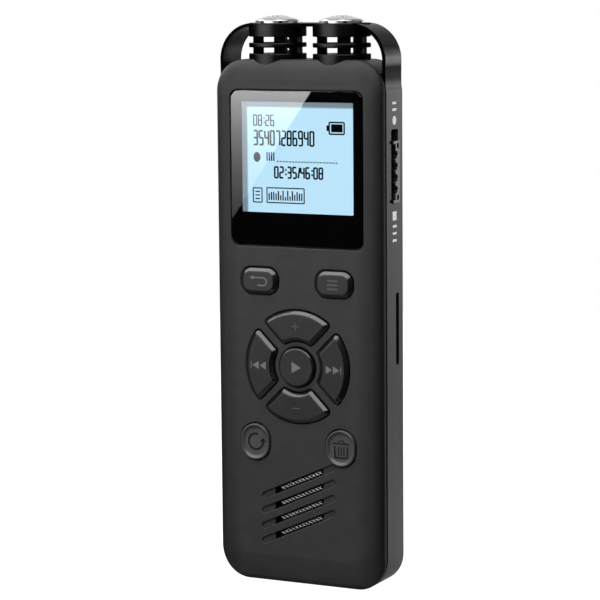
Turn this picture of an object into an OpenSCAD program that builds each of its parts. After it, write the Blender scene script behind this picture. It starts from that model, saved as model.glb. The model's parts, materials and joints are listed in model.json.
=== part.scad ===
// Handheld voice recorder, standing upright: front towards -Y, right side towards +X, base at Z = 0

/* [Body] */
// Width across the side band
body_w = 31; // [30.8:0.1:32]
// Height of the two covers, without the microphone head
body_h = 89.7; // [89.6:0.1:90.2]
// Thickness over the two covers
body_t = 11.4; // [11.4:0.1:12]
// Corner radius of the body seen from the front
corner_r = 5.2; // [4.8:0.1:5.6]
// Depth of the side band from front to back
band_d = 6.6; // [6.5:0.05:6.6]
// Wall of the side band
band_wall = 1.2; // [1:0.05:1.2]
// Wall of the covers
cover_wall = 1.4; // [1.3:0.05:1.4]
// Width of the rolled edge along the covers' sides
roll_side = 3.3; // [2.5:0.1:3.4]
// Height of the rolled edge at the covers' top
roll_top = 3.6; // [2.5:0.1:4]
// Height of the rolled chin at the covers' bottom
roll_bottom = 5; // [3:0.1:5.5]
// Depth of the rolled edges
roll_d = 1.6; // [1.4:0.05:1.7]
// Depth of the straight lip behind the rolled edges
lip_d = 0.35; // [0.2:0.05:0.4]
// How far the rear cover's sides and top stand inside the side band
rear_inset = 0.55; // [0:0.05:0.6]

/* [Microphone head] */
// Distance between the two microphone axes
mic_spacing = 12; // [11.4:0.1:12.4]
// Radius of the microphone collars
mic_r = 4.9; // [4.7:0.05:5]
// Top of the arch above the base
arch_z = 95.75; // [95.7:0.05:96]
// Thickness of the arch strap
strap_t = 0.6; // [0.55:0.05:0.7]
// Depth of the arch strap from front to back
strap_d = 6.1; // [5.8:0.1:6.4]
// Outer corner radius of the arch
arch_r = 6.2; // [5.8:0.1:6.6]
// Radius of the domed microphone caps
cap_r = 3.68; // [3.5:0.02:3.7]
// Height of the caps above the arch
cap_h = 1.25; // [1:0.05:1.5]

/* [Display] */
// Width of the display window
window_w = 24.4; // [23.8:0.1:24.4]
// Height of the display window
window_h = 26.1; // [25.8:0.1:26.1]
// Lower edge of the display window above the base
window_z = 58.4; // [58.3:0.1:58.5]
// Thickness of the display window
window_t = 0.95; // [0.8:0.05:0.95]

/* [Keys] */
// Travel of a key when it is pressed
key_travel = 0.35; // [0.2:0.05:0.35]
// Height of the raised keys above the front
key_proud = 0.7; // [0.4:0.05:0.8]
// Width of the bevel round a key
key_bevel = 0.6; // [0.3:0.05:0.6]
// Gap between a key and its hole
key_gap = 0.15; // [0.1:0.01:0.2]
// Height of the direction keys' centre above the base
pad_z = 37.9; // [37.5:0.1:38.3]
// Outer radius of the direction keys' holes
pad_r = 9.8; // [9.4:0.1:10]
// Inner radius of the direction keys' holes
pad_inner_r = 4.3; // [4.2:0.05:4.5]
// Width of the ribs between the direction keys
pad_rib = 1.3; // [1.1:0.1:1.5]
// Radius of the play key's hole
play_r = 3.45; // [3.3:0.05:3.5]

/* [Speaker] */
// Height of the speaker's centre above the base
speaker_z = 14.2; // [14:0.1:14.4]
// Number of slots in front of the speaker
slot_count = 4; // [3:1:4]
// Length of a slot from tip to tip
slot_len = 15.3; // [14:0.1:15.5]
// Width of a slot
slot_w = 1.1; // [0.9:0.05:1.2]
// Slope of the slots in degrees
slot_angle = 24.1; // [20:0.1:26]

/* [Record switch] */
// Travel of the record knob, upwards from its lower stop
switch_travel = 1.8; // [1.4:0.1:1.8]
// Length of the record knob
knob_len = 10.35; // [10.3:0.05:10.5]
// Height of the record knob above the side band
knob_proud = 0.4; // [0.3:0.05:0.8]

/* [Sockets] */
// Length of the memory card slot
card_slot_len = 12.3; // [12:0.1:12.4]
// Radius of the earphone socket's bore
jack_r = 1.8; // [1.78:0.01:1.82]

/* [Hidden] */
$fn = 64;

// Planes of the body
half_w = body_w / 2;
front_y = -body_t / 2;
band_y = band_d / 2;
band_in = half_w - band_wall;
cover_in_y = front_y + cover_wall;
groove = 0.35;
hollow_x = band_in - 0.2;
roll_corner = 1.5;
round_power = 2;
top_power = 1.6;
chin_power = 1.3;
lip_y = front_y + roll_d + lip_d;
top_wall = 2.3;
bottom_wall = 2;
slack = 0.05;
past = 1;

// Main board, which everything electrical sits on
board_front = -1.9;
board_back = -0.9;
board_half_w = 13.4;
board_z0 = 2.2;
board_z1 = 84.2;
board_step_z = 7.2;
board_step_half_w = 8.9;
board_gap = 0.3;

// Flat packages on the back of the board: centre, width and height, thickness
chips = concat(
    [[[-5, 58], [7, 7], 0.9], [[5, 58.5], [9, 7.5], 1], [[0, 79], [5, 5], 0.8]],
    [for (x = [-6 : 4 : 6]) [[x, 64.6], [1.6, 0.8], 0.6]],
    [for (z = [47.5 : 2 : 51.5]) [[-7.5, z], [2, 1.2], 0.7]]
);

// Screw bosses in the corners, and plain posts that hold the board
boss_x = 10.8;
boss_zs = [5.2, 85.95];
boss_r = 1.5;
pilot_r = 0.75;
shank_r = 0.7;
shank_hole_r = 0.9;
head_r = 1.35;
head_pocket_r = 1.5;
head_t = 0.8;
head_sink = 0.3;
head_seat_y = -front_y - head_sink - head_t;
cross_len = 1.7;
cross_w = 0.35;
cross_d = 0.45;
shank_end_y = -2.8;
pilot_end_y = shank_end_y - 0.4;
post_x = 12.3;
post_zs = [30, 57];
post_r = 0.8;
rib_t = 0.9;
rib_d = 0.7;
rib_z0 = 10;
rib_z1 = 66;
rib_x = band_in - 0.1 - rib_t / 2;

// Microphone head, as heights above the base
mic_x = mic_spacing / 2;
mic_xs = [-mic_x, mic_x];
shoulder_z0 = 84.5;
shoulder_z1 = 86;
strap_inset = 0.08;
strap_half_w = half_w - strap_inset;
strap_in = strap_half_w - strap_t;
strap_y = strap_d / 2;
eye_z = arch_z - strap_t;
eye_t = 0.3;
eye_r = cap_r + 0.12;
eye_out_r = mic_r - 0.35;
cap_top_z = arch_z + cap_h;
cap_rim_z = arch_z + 0.35;
cap_skirt_z = arch_z - 0.4;
cap_wall = 0.3;
dome_r = (cap_r * cap_r + pow(cap_top_z - cap_rim_z, 2)) / (2 * (cap_top_z - cap_rim_z));
cap_hole_r = 0.25;
cap_hole_pitch = 0.85;
cap_hole_rows = 2;
cage_seat_z = 88.5;
cage_floor_z = 90.6;
ring_z0 = 91.65;
ring_z1 = 92.4;
collar_z = 93.45;
pocket_z = 94;
spigot_z = 86.2;
spigot_r = 2.6;
cage_bore_r = 2;
cage_in_r = 3.55;
pillar_r = 4.2;
// Pillars of a cage: angle from +X and width
pillars = [[13, 1.6], [73, 1.5], [110, 2.1], [178, 2.7], [222, 1.5], [304, 1.3]];
// Thin wall that closes the back of the left cage's right side between two angles
screen_t = 0.25;
screen_angles = [20, 52, 84, 115];
lead_hole_r = 2.5;
capsule_r = 2.9;
capsule_z1 = 95.25;
top_cap_z = 87.5;

// Display stack behind the window
window_r = 1.5;
window_x = window_w / 2;
window_z1 = window_z + window_h;
lcd_x = 11.4;
lcd_z0 = 61.2;
lcd_z1 = 83.8;
lcd_front = cover_in_y + slack;
lcd_lip = 0.4;
lcd_back = lcd_front + 1.2;
holder_wall = 0.6;
holder_top = 0.5;
ribbon_half_w = 6;
ribbon_t = 0.15;
ribbon_y = lcd_front + 0.3;
ribbon_bend_z = lcd_z0 - 2;
ribbon_foot_z = ribbon_bend_z - 1.5;

// Keys: centres on the front, half sizes of the holes and corner radii
pair_x = 7;
pair_z = 52.3;
pair_half_w = 3.6;
pair_half_h = 2.4;
pair_r = 2.05;
oval_x = 8.08;
oval_z = 24.5;
oval_half_w = 2.83;
oval_half_h = 3.25;
oval_r = oval_half_w - slack;
oval_proud = 0.45;
oval_rim = 0.2;
dish_slope = 0.8;
dish_d = 0.5;
least_r = 0.3;
lobe_r = 0.8;
lobe_centre_r = 7;
flange = 0.4;
flange_t = 0.6;
stem_r = 0.9;
switch_half = 1.3;
switch_body_t = 0.6;
switch_button_t = 0.25;
switch_button_r = 0.7;
flange_y0 = cover_in_y + slack;
flange_y1 = flange_y0 + flange_t;
stem_y = board_front - switch_body_t - switch_button_t - key_travel - slack;
key_top_y = front_y - key_proud;
oval_top_y = front_y - oval_proud;
// Sections of the key caps from the face to the flange, as inset from the hole and depth
cap_steps = [[key_gap + key_bevel, key_top_y], [key_gap, key_top_y + key_bevel], [key_gap, flange_y0]];
oval_steps = [
    [key_gap + oval_rim + dish_slope, oval_top_y + dish_d],
    [key_gap + oval_rim, oval_top_y],
    [key_gap, oval_top_y + oval_rim],
    [key_gap, flange_y0]
];
lobe_angles = [0, 90, 180, 270];
function lobe_centre(angle) = [lobe_centre_r * sin(angle), pad_z + lobe_centre_r * cos(angle)];
key_centres = concat(
    [for (side = [-1, 1]) [side * pair_x, pair_z]],
    [for (side = [-1, 1]) [side * oval_x, oval_z]],
    [for (a = lobe_angles) lobe_centre(a)],
    [[0, pad_z]]
);

// Speaker stack behind its slots
slot_pitch = 2.62;
slot_pocket_d = 0.3;
slot_open_len = 10;
mesh_r = 7.9;
mesh_t = 0.3;
gasket_t = 0.4;
gasket_in_r = 6;
frame_r = 7;
frame_in_r = 5.7;
frame_back = -2;
yoke_t = 0.25;
magnet_r = 4.4;
magnet_back = -0.5;
magnet_front = -2.7;
cone_t = 0.2;
cone_mid_r = 2.4;
cone_edge_y = 0.15;
cone_dome_y = 0.25;
cone_mid_y = 0.5;
mesh_y0 = cover_in_y + slack;
mesh_y1 = mesh_y0 + mesh_t;
gasket_y1 = mesh_y1 + gasket_t;

// Record switch on the right side
switch_y = 0.2;
knob_half_d = 1.25;
knob_play = 0.15;
knob_slot_half_d = knob_half_d + knob_play;
knob_slot_r = 0.5;
knob_z0 = 65.85;
knob_z1 = knob_z0 + knob_len;
knob_slot_z0 = knob_z0 - knob_play;
knob_slot_z1 = knob_z1 + switch_travel + knob_play;
knob_flange_x0 = 13.6;
knob_flange_x1 = band_in - 2 * slack;
knob_flange_half_d = 2.05;
knob_flange_over = 0.8;
grip_count = 4;
grip_pitch = 1.95;
grip_half_z = 0.65;
grip_reach = 1.6;
grip_d = 0.9;
grip_r = 0.6;
end_pocket_z = 0.85;
end_pocket_y0 = 0.1;
end_pocket_y1 = 0.85;
end_pocket_half_z = 0.45;
end_pocket_d = 0.35;
end_pocket_r = 0.2;
lever_x0 = 12.1;
lever_x1 = 14;
lever_half_d = 0.5;
lever_z0 = 70.2;
lever_z1 = 71.6;
housing_x0 = 9.6;
housing_x1 = 13.2;
housing_back = 1.7;
housing_z0 = 66.8;
housing_z1 = 76.2;

// Sockets on the sides
card_y = 1.17;
card_z = 44.4;
card_slot_half_d = 0.62;
card_slot_r = 0.4;
card_x0 = 1;
card_x1 = 14.1;
card_half_z = 7;
card_back = 2.1;
card_cavity_half_d = 0.52;
card_cavity_half_z = 5.8;
card_end_wall = 0.6;
usb_y = 0.5;
usb_z = 44.8;
usb_half_d = 1.4;
usb_half_z = 3.8;
usb_r = 1.3;
usb_x0 = -14.2;
usb_x1 = -9;
usb_wall = 0.3;
usb_hole_gap = 0.15;
usb_tongue_half_d = 0.35;
usb_tongue_set_back = 0.6;
usb_tongue_half_z = 2.8;
jack_y = 0.9;
jack_z = 70;
jack_half_d = 2.3;
jack_half_z = 2.6;
jack_x0 = -14.2;
jack_x1 = -2.6;
jack_bore_end = -4;
jack_nose_r = 2.3;

// Battery behind the board
battery_half_w = 11;
battery_z0 = 8;
battery_z1 = 36;
battery_y0 = -0.4;
battery_y1 = 3.9;
battery_r = 1.5;

// Leads inside the case, as points that each wire follows
wire_r = 0.22;
bend_r = 0.25;
battery_lead_xs = [-4, -2.6];
battery_lead = [[0, 2.2, battery_z1], [0, 2.2, 38.6], [0, 0.8, 40], [0, board_back, 40]];
speaker_lead_xs = [-1.2, 1.2];
speaker_lead = [[0, -2.8, speaker_z + frame_r], [0, -2.8, 22.8], [0, board_front, 22.8]];
mic_lead_xs = [-mic_x - 0.4, -mic_x + 0.4, mic_x - 0.4, mic_x + 0.4];
mic_lead = [[0, 1.6, pocket_z], [0, 1.6, 84.9], [0, 0.6, 83.4], [0, board_back, 83.4]];

// Solid between two depths, from an outline drawn as width and height
module slab(y0, y1) {
    translate([0, y1, 0])
        rotate([90, 0, 0])
            linear_extrude(height = y1 - y0)
                children();
}

// Solid between two places across the width, from an outline drawn as depth and height
module side_slab(x0, x1) {
    translate([x0, 0, 0])
        rotate([90, 0, 90])
            linear_extrude(height = x1 - x0)
                children();
}

// Outline with round corners
module rounded(x0, x1, z0, z1, r) {
    translate([x0 + r, z0])
        square([x1 - x0 - 2 * r, z1 - z0]);
    translate([x0, z0 + r])
        square([x1 - x0, z1 - z0 - 2 * r]);
    for (x = [x0 + r, x1 - r], z = [z0 + r, z1 - r])
        translate([x, z])
            circle(r);
}

// Box given by its two corners
module box(low, high) {
    translate(low)
        cube(high - low);
}

// Cylinder from one depth to another
module rod_y(x, z, r, y0, y1) {
    translate([x, y1, z])
        rotate([90, 0, 0])
            cylinder(r = r, h = y1 - y0);
}

// Ring made of an outer and an inner cylinder
module tube_z(r_out, r_in, z0, z1) {
    translate([0, 0, z0])
        difference() {
            cylinder(r = r_out, h = z1 - z0);
            translate([0, 0, -past])
                cylinder(r = r_in, h = z1 - z0 + 2 * past);
        }
}

// Wire along a list of points, with round bends
module wire(points) {
    for (i = [0 : len(points) - 2]) {
        run = points[i + 1] - points[i];
        length = norm(run);
        translate(points[i])
            rotate([0, acos(run[2] / length), atan2(run[1], run[0])])
                cylinder(r = wire_r, h = length, $fn = 16);
    }
    for (i = [1 : len(points) - 2])
        translate(points[i])
            sphere(r = bend_r, $fn = 16);
}

// Outlines as points, anticlockwise from the front
function corner(x, z, r, start, steps) =
    [for (i = [0 : steps]) [x + r * cos(start + 90 * i / steps), z + r * sin(start + 90 * i / steps)]];

function round_outline(x0, x1, z0, z1, r, steps = 8) = concat(
    corner(x1 - r, z0 + r, r, -90, steps),
    corner(x1 - r, z1 - r, r, 0, steps),
    corner(x0 + r, z1 - r, r, 90, steps),
    corner(x0 + r, z0 + r, r, 180, steps)
);

function box_outline(x, z, half_w, half_h, r, inset) = round_outline(
    x - half_w + inset, x + half_w - inset, z - half_h + inset, z + half_h - inset, max(r - inset, least_r)
);

// Angle, from the middle of a direction key, at which a circle meets the key's side
function lobe_angle(gap, r) = 45 - asin(gap / r);

function arc(r, a0, a1, steps) =
    [for (i = [0 : steps]) [r * sin(a0 + (a1 - a0) * i / steps), r * cos(a0 + (a1 - a0) * i / steps)]];

function shift_points(points, by) = [for (p = points) p + by];

// Right half of a direction key that points up, clockwise from its outer middle
function half_lobe(r_out, r_in, gap, fillet) =
    let (outer = lobe_angle(gap + fillet, r_out - fillet), inner = lobe_angle(gap + fillet, r_in + fillet))
    concat(
        arc(r_out, outer / 6, outer, 5),
        shift_points(arc(fillet, outer, 135, 5), arc(r_out - fillet, outer, outer, 1)[0]),
        shift_points(arc(fillet, 135, inner + 180, 3), arc(r_in + fillet, inner, inner, 1)[0]),
        arc(r_in, inner, inner / 6, 3)
    );

function lobe_outline(inset, inner_inset) =
    let (
        fillet = max(lobe_r - inset, least_r),
        right = half_lobe(pad_r - inset, pad_inner_r + inner_inset, pad_rib / 2 + inset, fillet),
        count = len(right)
    )
    concat([for (p = right) [-p[0], p[1]]], [for (i = [count - 1 : -1 : 0]) right[i]]);

function turned(points, angle) = [
    for (p = points) [p[0] * cos(angle) + p[1] * sin(angle), p[1] * cos(angle) - p[0] * sin(angle) + pad_z]
];

function at_depth(outline, y) = [for (p = outline) [p[0], y, p[1]]];

// Closed solid through outlines that have the same number of points, from front to back
module loft(rings) {
    count = len(rings[0]);
    last = (len(rings) - 1) * count;
    sides = [
        for (k = [0 : len(rings) - 2], i = [0 : count - 1])
            let (a = k * count + i, b = k * count + (i + 1) % count)
            each [[a, b, a + count], [b, b + count, a + count]]
    ];
    polyhedron(
        [for (ring = rings) each ring],
        concat([[for (i = [count - 1 : -1 : 0]) i]], sides, [[for (i = [0 : count - 1]) last + i]])
    );
}

// Rolled edge of a cover: share of the roll's width that is cut away at a share of its depth.
// A power of 2 makes the curve a quarter of an ellipse, and a lower one makes it flatter.
function roll_share(depth, power) = 1 - pow(1 - pow(1 - depth, power), 1 / power);

function cover_outline(depth, inset) =
    let (share = roll_share(depth, round_power), side = half_w - inset - roll_side * share)
    round_outline(
        -side, side,
        roll_bottom * roll_share(depth, chin_power), body_h - inset - roll_top * roll_share(depth, top_power),
        corner_r - inset - roll_corner * share, 10
    );

roll_steps = [0, 0.03, 0.1, 0.2, 0.32, 0.46, 0.62, 0.8, 1];

// Shell of a cover with its lip, its groove towards the band and its ribs, drawn as the front one
module cover_shell(inset) {
    neck = inset + groove;
    difference() {
        union() {
            loft(concat(
                [for (depth = roll_steps) at_depth(cover_outline(depth, inset), front_y + roll_d * depth)],
                [at_depth(cover_outline(1, inset), lip_y)]
            ));
            slab(lip_y, -band_y)
                rounded(-half_w + neck, half_w - neck, groove, body_h - neck, corner_r - neck);
        }
        slab(cover_in_y, past)
            rounded(-hollow_x, hollow_x, bottom_wall, body_h - top_wall, corner_r - cover_wall);
        for (x = mic_xs)
            translate([x, 0, cage_seat_z - slack])
                cylinder(r = mic_r + slack, h = body_h);
    }
    for (side = [-1, 1])
        box(
            [side * rib_x - rib_t / 2, cover_in_y, rib_z0],
            [side * rib_x + rib_t / 2, -band_y + rib_d, rib_z1]
        );
}

// One cylinder at each corner screw, for the bosses and for their bores
module screw_rods(r, y0, y1) {
    for (x = [-boss_x, boss_x], z = boss_zs)
        rod_y(x, z, r, y0, y1);
}

module posts(y0, y1) {
    for (x = [-post_x, post_x], z = post_zs)
        rod_y(x, z, post_r, y0, y1);
}

// Slanted slots of the speaker, as outlines of one length
module slots(length) {
    for (i = [0 : slot_count - 1])
        translate([0, speaker_z + (i - (slot_count - 1) / 2) * slot_pitch])
            rotate(slot_angle) {
                square([length - slot_w, slot_w], center = true);
                for (side = [-1, 1])
                    translate([side * (length - slot_w) / 2, 0])
                        circle(slot_w / 2, $fn = 24);
            }
}

// Holes in the front cover for all the keys
module key_holes() {
    y0 = front_y - past;
    y1 = cover_in_y + past;
    for (side = [-1, 1]) {
        slab(y0, y1)
            rounded(
                side * pair_x - pair_half_w, side * pair_x + pair_half_w,
                pair_z - pair_half_h, pair_z + pair_half_h, pair_r
            );
        slab(y0, y1)
            rounded(
                side * oval_x - oval_half_w, side * oval_x + oval_half_w,
                oval_z - oval_half_h, oval_z + oval_half_h, oval_r
            );
    }
    for (a = lobe_angles)
        loft([for (y = [y0, y1]) at_depth(turned(lobe_outline(0, 0), a), y)]);
    rod_y(0, pad_z, play_r, y0, y1);
}

module front_cover() {
    color([0.16, 0.16, 0.17])
        difference() {
            union() {
                cover_shell(0);
                screw_rods(boss_r, cover_in_y, 0);
                posts(cover_in_y, board_front);
            }
            slab(front_y - past, front_y + window_t + slack)
                rounded(-window_x - slack, window_x + slack, window_z - slack, window_z1 + slack, window_r);
            slab(front_y, cover_in_y + slack)
                rounded(-lcd_x + lcd_lip, lcd_x - lcd_lip, lcd_z0 + lcd_lip, lcd_z1 - lcd_lip, window_r);
            key_holes();
            slab(front_y - past, front_y + slot_pocket_d)
                slots(slot_len);
            slab(front_y, cover_in_y + past)
                slots(slot_open_len);
            screw_rods(pilot_r, pilot_end_y, past);
        }
}

module rear_cover() {
    color([0.15, 0.15, 0.16])
        difference() {
            union() {
                mirror([0, 1, 0])
                    cover_shell(rear_inset);
                screw_rods(boss_r, slack, -cover_in_y);
                posts(board_back, -cover_in_y);
            }
            screw_rods(shank_hole_r, -past, -front_y + past);
            screw_rods(head_pocket_r, head_seat_y, -front_y + past);
        }
}

// Outline of the side band and the arch that it turns into, without their hollow
module frame_outer() {
    intersection() {
        rounded(-half_w, half_w, 0, body_h + arch_r, corner_r);
        translate([-body_w, 0])
            square([2 * body_w, shoulder_z0]);
    }
    polygon([
        [-half_w, shoulder_z0], [half_w, shoulder_z0],
        [strap_half_w, shoulder_z1], [-strap_half_w, shoulder_z1]
    ]);
    intersection() {
        rounded(-strap_half_w, strap_half_w, body_h / 2, arch_z, arch_r);
        translate([-body_w, shoulder_z1])
            square([2 * body_w, body_w]);
    }
}

// Outline of the space inside the arch, from the shoulders up
module arch_hollow() {
    r = arch_r - strap_t;
    translate([-strap_in, shoulder_z0])
        square([2 * strap_in, eye_z - r - shoulder_z0]);
    translate([-strap_in + r, shoulder_z0])
        square([2 * (strap_in - r), eye_z - shoulder_z0]);
    for (side = [-1, 1])
        translate([side * (strap_in - r), eye_z - r])
            circle(r);
}

module side_frame() {
    color([0.3, 0.3, 0.31])
        difference() {
            union() {
                intersection() {
                    slab(-band_y, band_y)
                        difference() {
                            frame_outer();
                            rounded(-band_in, band_in, band_wall, body_h, corner_r - band_wall);
                            arch_hollow();
                        }
                    side_slab(-body_w, body_w)
                        polygon([
                            [-band_y, -past], [band_y, -past], [band_y, shoulder_z0],
                            [strap_y, shoulder_z1], [strap_y, arch_z + past],
                            [-strap_y, arch_z + past], [-strap_y, shoulder_z1], [-band_y, shoulder_z0]
                        ]);
                }
                for (x = mic_xs)
                    translate([x, 0, eye_z])
                        cylinder(r = eye_out_r, h = eye_t);
            }
            for (x = mic_xs)
                translate([x, 0, 0]) {
                    translate([0, 0, eye_z - past])
                        cylinder(r = eye_r, h = strap_t + 2 * past);
                    translate([0, 0, collar_z])
                        cylinder(r = mic_r + slack, h = eye_z - collar_z);
                    translate([0, 0, eye_z + eye_t])
                        cylinder(r = mic_r + slack, h = past);
                }
            side_slab(band_in - past, half_w + past) {
                rounded(
                    switch_y - knob_slot_half_d, switch_y + knob_slot_half_d,
                    knob_slot_z0, knob_slot_z1, knob_slot_r
                );
                rounded(
                    card_y - card_slot_half_d, card_y + card_slot_half_d,
                    card_z - card_slot_len / 2, card_z + card_slot_len / 2, card_slot_r
                );
            }
            side_slab(-half_w - past, -band_in + past)
                usb_outline(usb_hole_gap);
            translate([-half_w - past, jack_y, jack_z])
                rotate([0, 90, 0])
                    cylinder(r = jack_nose_r + slack, h = band_wall + 2 * past);
        }
}

module top_cap() {
    color([0.13, 0.13, 0.14])
        difference() {
            slab(-band_y + slack, band_y - slack)
                intersection() {
                    rounded(-half_w, half_w, 0, body_h, corner_r);
                    translate([-strap_in + 2 * slack, top_cap_z])
                        square([2 * (strap_in - 2 * slack), body_h]);
                }
            for (x = mic_xs)
                translate([x, 0, 0]) {
                    translate([0, 0, cage_seat_z - slack])
                        cylinder(r = mic_r + slack, h = body_h);
                    translate([0, 0, spigot_z])
                        cylinder(r = spigot_r + slack, h = body_h);
                }
        }
}

module case_screws() {
    color([0.55, 0.55, 0.57])
        difference() {
            union() {
                screw_rods(shank_r, shank_end_y, head_seat_y);
                screw_rods(head_r, head_seat_y, head_seat_y + head_t);
            }
            for (x = [-boss_x, boss_x], z = boss_zs, turn = [0, 90])
                translate([x, head_seat_y + head_t, z])
                    rotate([0, turn, 0])
                        cube([cross_len, 2 * cross_d, cross_w], center = true);
        }
}

module display_window() {
    color([0.03, 0.03, 0.035])
        slab(front_y, front_y + window_t)
            rounded(-window_x, window_x, window_z, window_z1, window_r);
}

module lcd_panel() {
    color([0.7, 0.88, 0.96])
        slab(lcd_front, lcd_back)
            translate([-lcd_x, lcd_z0])
                square([2 * lcd_x, lcd_z1 - lcd_z0]);
}

module lcd_backlight() {
    color([0.9, 0.92, 0.95])
        slab(lcd_back, board_front - 2 * slack)
            translate([-lcd_x, lcd_z0])
                square([2 * lcd_x, lcd_z1 - lcd_z0]);
}

module lcd_holder() {
    gap = 2 * slack;
    side = lcd_x + gap;
    color([0.85, 0.85, 0.83])
        difference() {
            box(
                [-side - holder_wall, lcd_front, lcd_z0 - gap - holder_wall],
                [side + holder_wall, board_front, lcd_z1 + holder_top]
            );
            box([-side, lcd_front - past, lcd_z0 - gap], [side, board_front + past, lcd_z1 + gap]);
            box(
                [-ribbon_half_w - gap, lcd_front - past, lcd_z0 - past],
                [ribbon_half_w + gap, lcd_back, lcd_z0]
            );
        }
}

module lcd_ribbon() {
    color([0.75, 0.5, 0.15])
        side_slab(-ribbon_half_w, ribbon_half_w)
            polygon([
                [ribbon_y, lcd_z0], [ribbon_y, ribbon_bend_z], [board_front, ribbon_foot_z],
                [board_front, ribbon_foot_z + ribbon_t],
                [ribbon_y + ribbon_t, ribbon_bend_z + ribbon_t], [ribbon_y + ribbon_t, lcd_z0]
            ]);
}

module main_board() {
    color([0.05, 0.3, 0.15])
        slab(board_front, board_back)
            difference() {
                union() {
                    translate([-board_half_w, board_step_z])
                        square([2 * board_half_w, board_z1 - board_step_z]);
                    translate([-board_step_half_w, board_z0])
                        square([2 * board_step_half_w, board_step_z - board_z0 + past]);
                }
                translate([-board_half_w - past, jack_z - jack_half_z - board_gap])
                    square([jack_x1 + board_gap + board_half_w + past, 2 * (jack_half_z + board_gap)]);
                translate([0, speaker_z])
                    circle(magnet_r + board_gap);
            }
}

module board_chips() {
    color([0.08, 0.08, 0.09])
        for (chip = chips) {
            centre = chip[0];
            half = chip[1] / 2;
            box(
                [centre[0] - half[0], board_back, centre[1] - half[1]],
                [centre[0] + half[0], board_back + chip[2], centre[1] + half[1]]
            );
        }
}

module key_switches() {
    color([0.75, 0.75, 0.72])
        for (c = key_centres) {
            box(
                [c[0] - switch_half, board_front - switch_body_t, c[1] - switch_half],
                [c[0] + switch_half, board_front, c[1] + switch_half]
            );
            rod_y(
                c[0], c[1], switch_button_r,
                board_front - switch_body_t - switch_button_t, board_front - switch_body_t
            );
        }
}

// Key cap through its sections, with a flange behind the cover and a stem over its switch
module key(outline, steps, skirt, stem) {
    loft([for (step = steps) at_depth(outline(step[0]), step[1])]);
    loft([at_depth(skirt, flange_y0), at_depth(skirt, flange_y1)]);
    rod_y(stem[0], stem[1], stem_r, flange_y1, stem_y);
}

module pair_key(x) {
    outline = function(inset) box_outline(x, pair_z, pair_half_w, pair_half_h, pair_r, inset);
    color([0.14, 0.14, 0.15])
        key(outline, cap_steps, outline(key_gap - flange), [x, pair_z]);
}

module oval_key(x) {
    outline = function(inset) box_outline(x, oval_z, oval_half_w, oval_half_h, oval_r, inset);
    color([0.2, 0.2, 0.21])
        key(outline, oval_steps, outline(key_gap - flange), [x, oval_z]);
}

module lobe_key(angle) {
    outline = function(inset) turned(lobe_outline(inset, inset), angle);
    skirt = turned(lobe_outline(key_gap - flange, key_gap), angle);
    color([0.14, 0.14, 0.15])
        key(outline, cap_steps, skirt, lobe_centre(angle));
}

module return_key() {
    pair_key(-pair_x);
}

module menu_key() {
    pair_key(pair_x);
}

module volume_up_key() {
    lobe_key(lobe_angles[0]);
}

module forward_key() {
    lobe_key(lobe_angles[1]);
}

module volume_down_key() {
    lobe_key(lobe_angles[2]);
}

module rewind_key() {
    lobe_key(lobe_angles[3]);
}

module play_key() {
    r = play_r - key_gap;
    color([0.14, 0.14, 0.15])
        translate([0, 0, pad_z])
            rotate([-90, 0, 0])
                rotate_extrude()
                    polygon([
                        [0, key_top_y], [r - key_bevel, key_top_y], [r, key_top_y + key_bevel],
                        [r, flange_y0], [r + flange, flange_y0], [r + flange, flange_y1],
                        [stem_r, flange_y1], [stem_r, stem_y], [0, stem_y]
                    ]);
}

module repeat_key() {
    oval_key(-oval_x);
}

module delete_key() {
    oval_key(oval_x);
}

module speaker_mesh() {
    color([0.5, 0.5, 0.5])
        rod_y(0, speaker_z, mesh_r, mesh_y0, mesh_y1);
}

module speaker_gasket() {
    color([0.1, 0.1, 0.1])
        difference() {
            rod_y(0, speaker_z, mesh_r, mesh_y1, gasket_y1);
            rod_y(0, speaker_z, gasket_in_r, mesh_y1 - past, gasket_y1 + past);
        }
}

module speaker_frame() {
    color([0.2, 0.2, 0.2])
        difference() {
            rod_y(0, speaker_z, frame_r, gasket_y1, frame_back);
            rod_y(0, speaker_z, frame_in_r, gasket_y1 - past, frame_back - yoke_t);
            rod_y(0, speaker_z, magnet_r + slack, gasket_y1, frame_back + past);
        }
}

module speaker_cone() {
    edge_r = frame_in_r - slack;
    color([0.25, 0.25, 0.24])
        translate([0, gasket_y1, speaker_z])
            rotate([-90, 0, 0])
                rotate_extrude()
                    polygon([
                        [0, cone_dome_y], [cone_mid_r, cone_mid_y], [edge_r, cone_edge_y],
                        [edge_r, cone_edge_y + cone_t], [cone_mid_r, cone_mid_y + cone_t],
                        [0, cone_dome_y + cone_t]
                    ]);
}

module speaker_magnet() {
    color([0.6, 0.6, 0.62])
        rod_y(0, speaker_z, magnet_r, magnet_front, magnet_back);
}

module leads(points, xs, tint) {
    color(tint)
        for (x = xs)
            translate([x, 0, 0])
                wire(points);
}

module speaker_leads() {
    leads(speaker_lead, speaker_lead_xs, [0.7, 0.1, 0.1]);
}

// Round cage with two rows of windows between its pillars
module mic_cage(x) {
    color([0.1, 0.1, 0.11])
        translate([x, 0, 0]) {
            tube_z(mic_r, cage_bore_r, cage_seat_z, cage_floor_z);
            tube_z(spigot_r, cage_bore_r, spigot_z, cage_seat_z);
            tube_z(mic_r, cage_in_r, ring_z0, ring_z1);
            tube_z(mic_r, lead_hole_r, collar_z, pocket_z);
            tube_z(mic_r, eye_r, pocket_z, eye_z);
            for (pillar = pillars)
                intersection() {
                    tube_z(pillar_r, cage_in_r, cage_floor_z, collar_z);
                    rotate([0, 0, pillar[0]])
                        box([0, -pillar[1] / 2, cage_floor_z], [mic_r, pillar[1] / 2, collar_z]);
                }
        }
}

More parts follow.
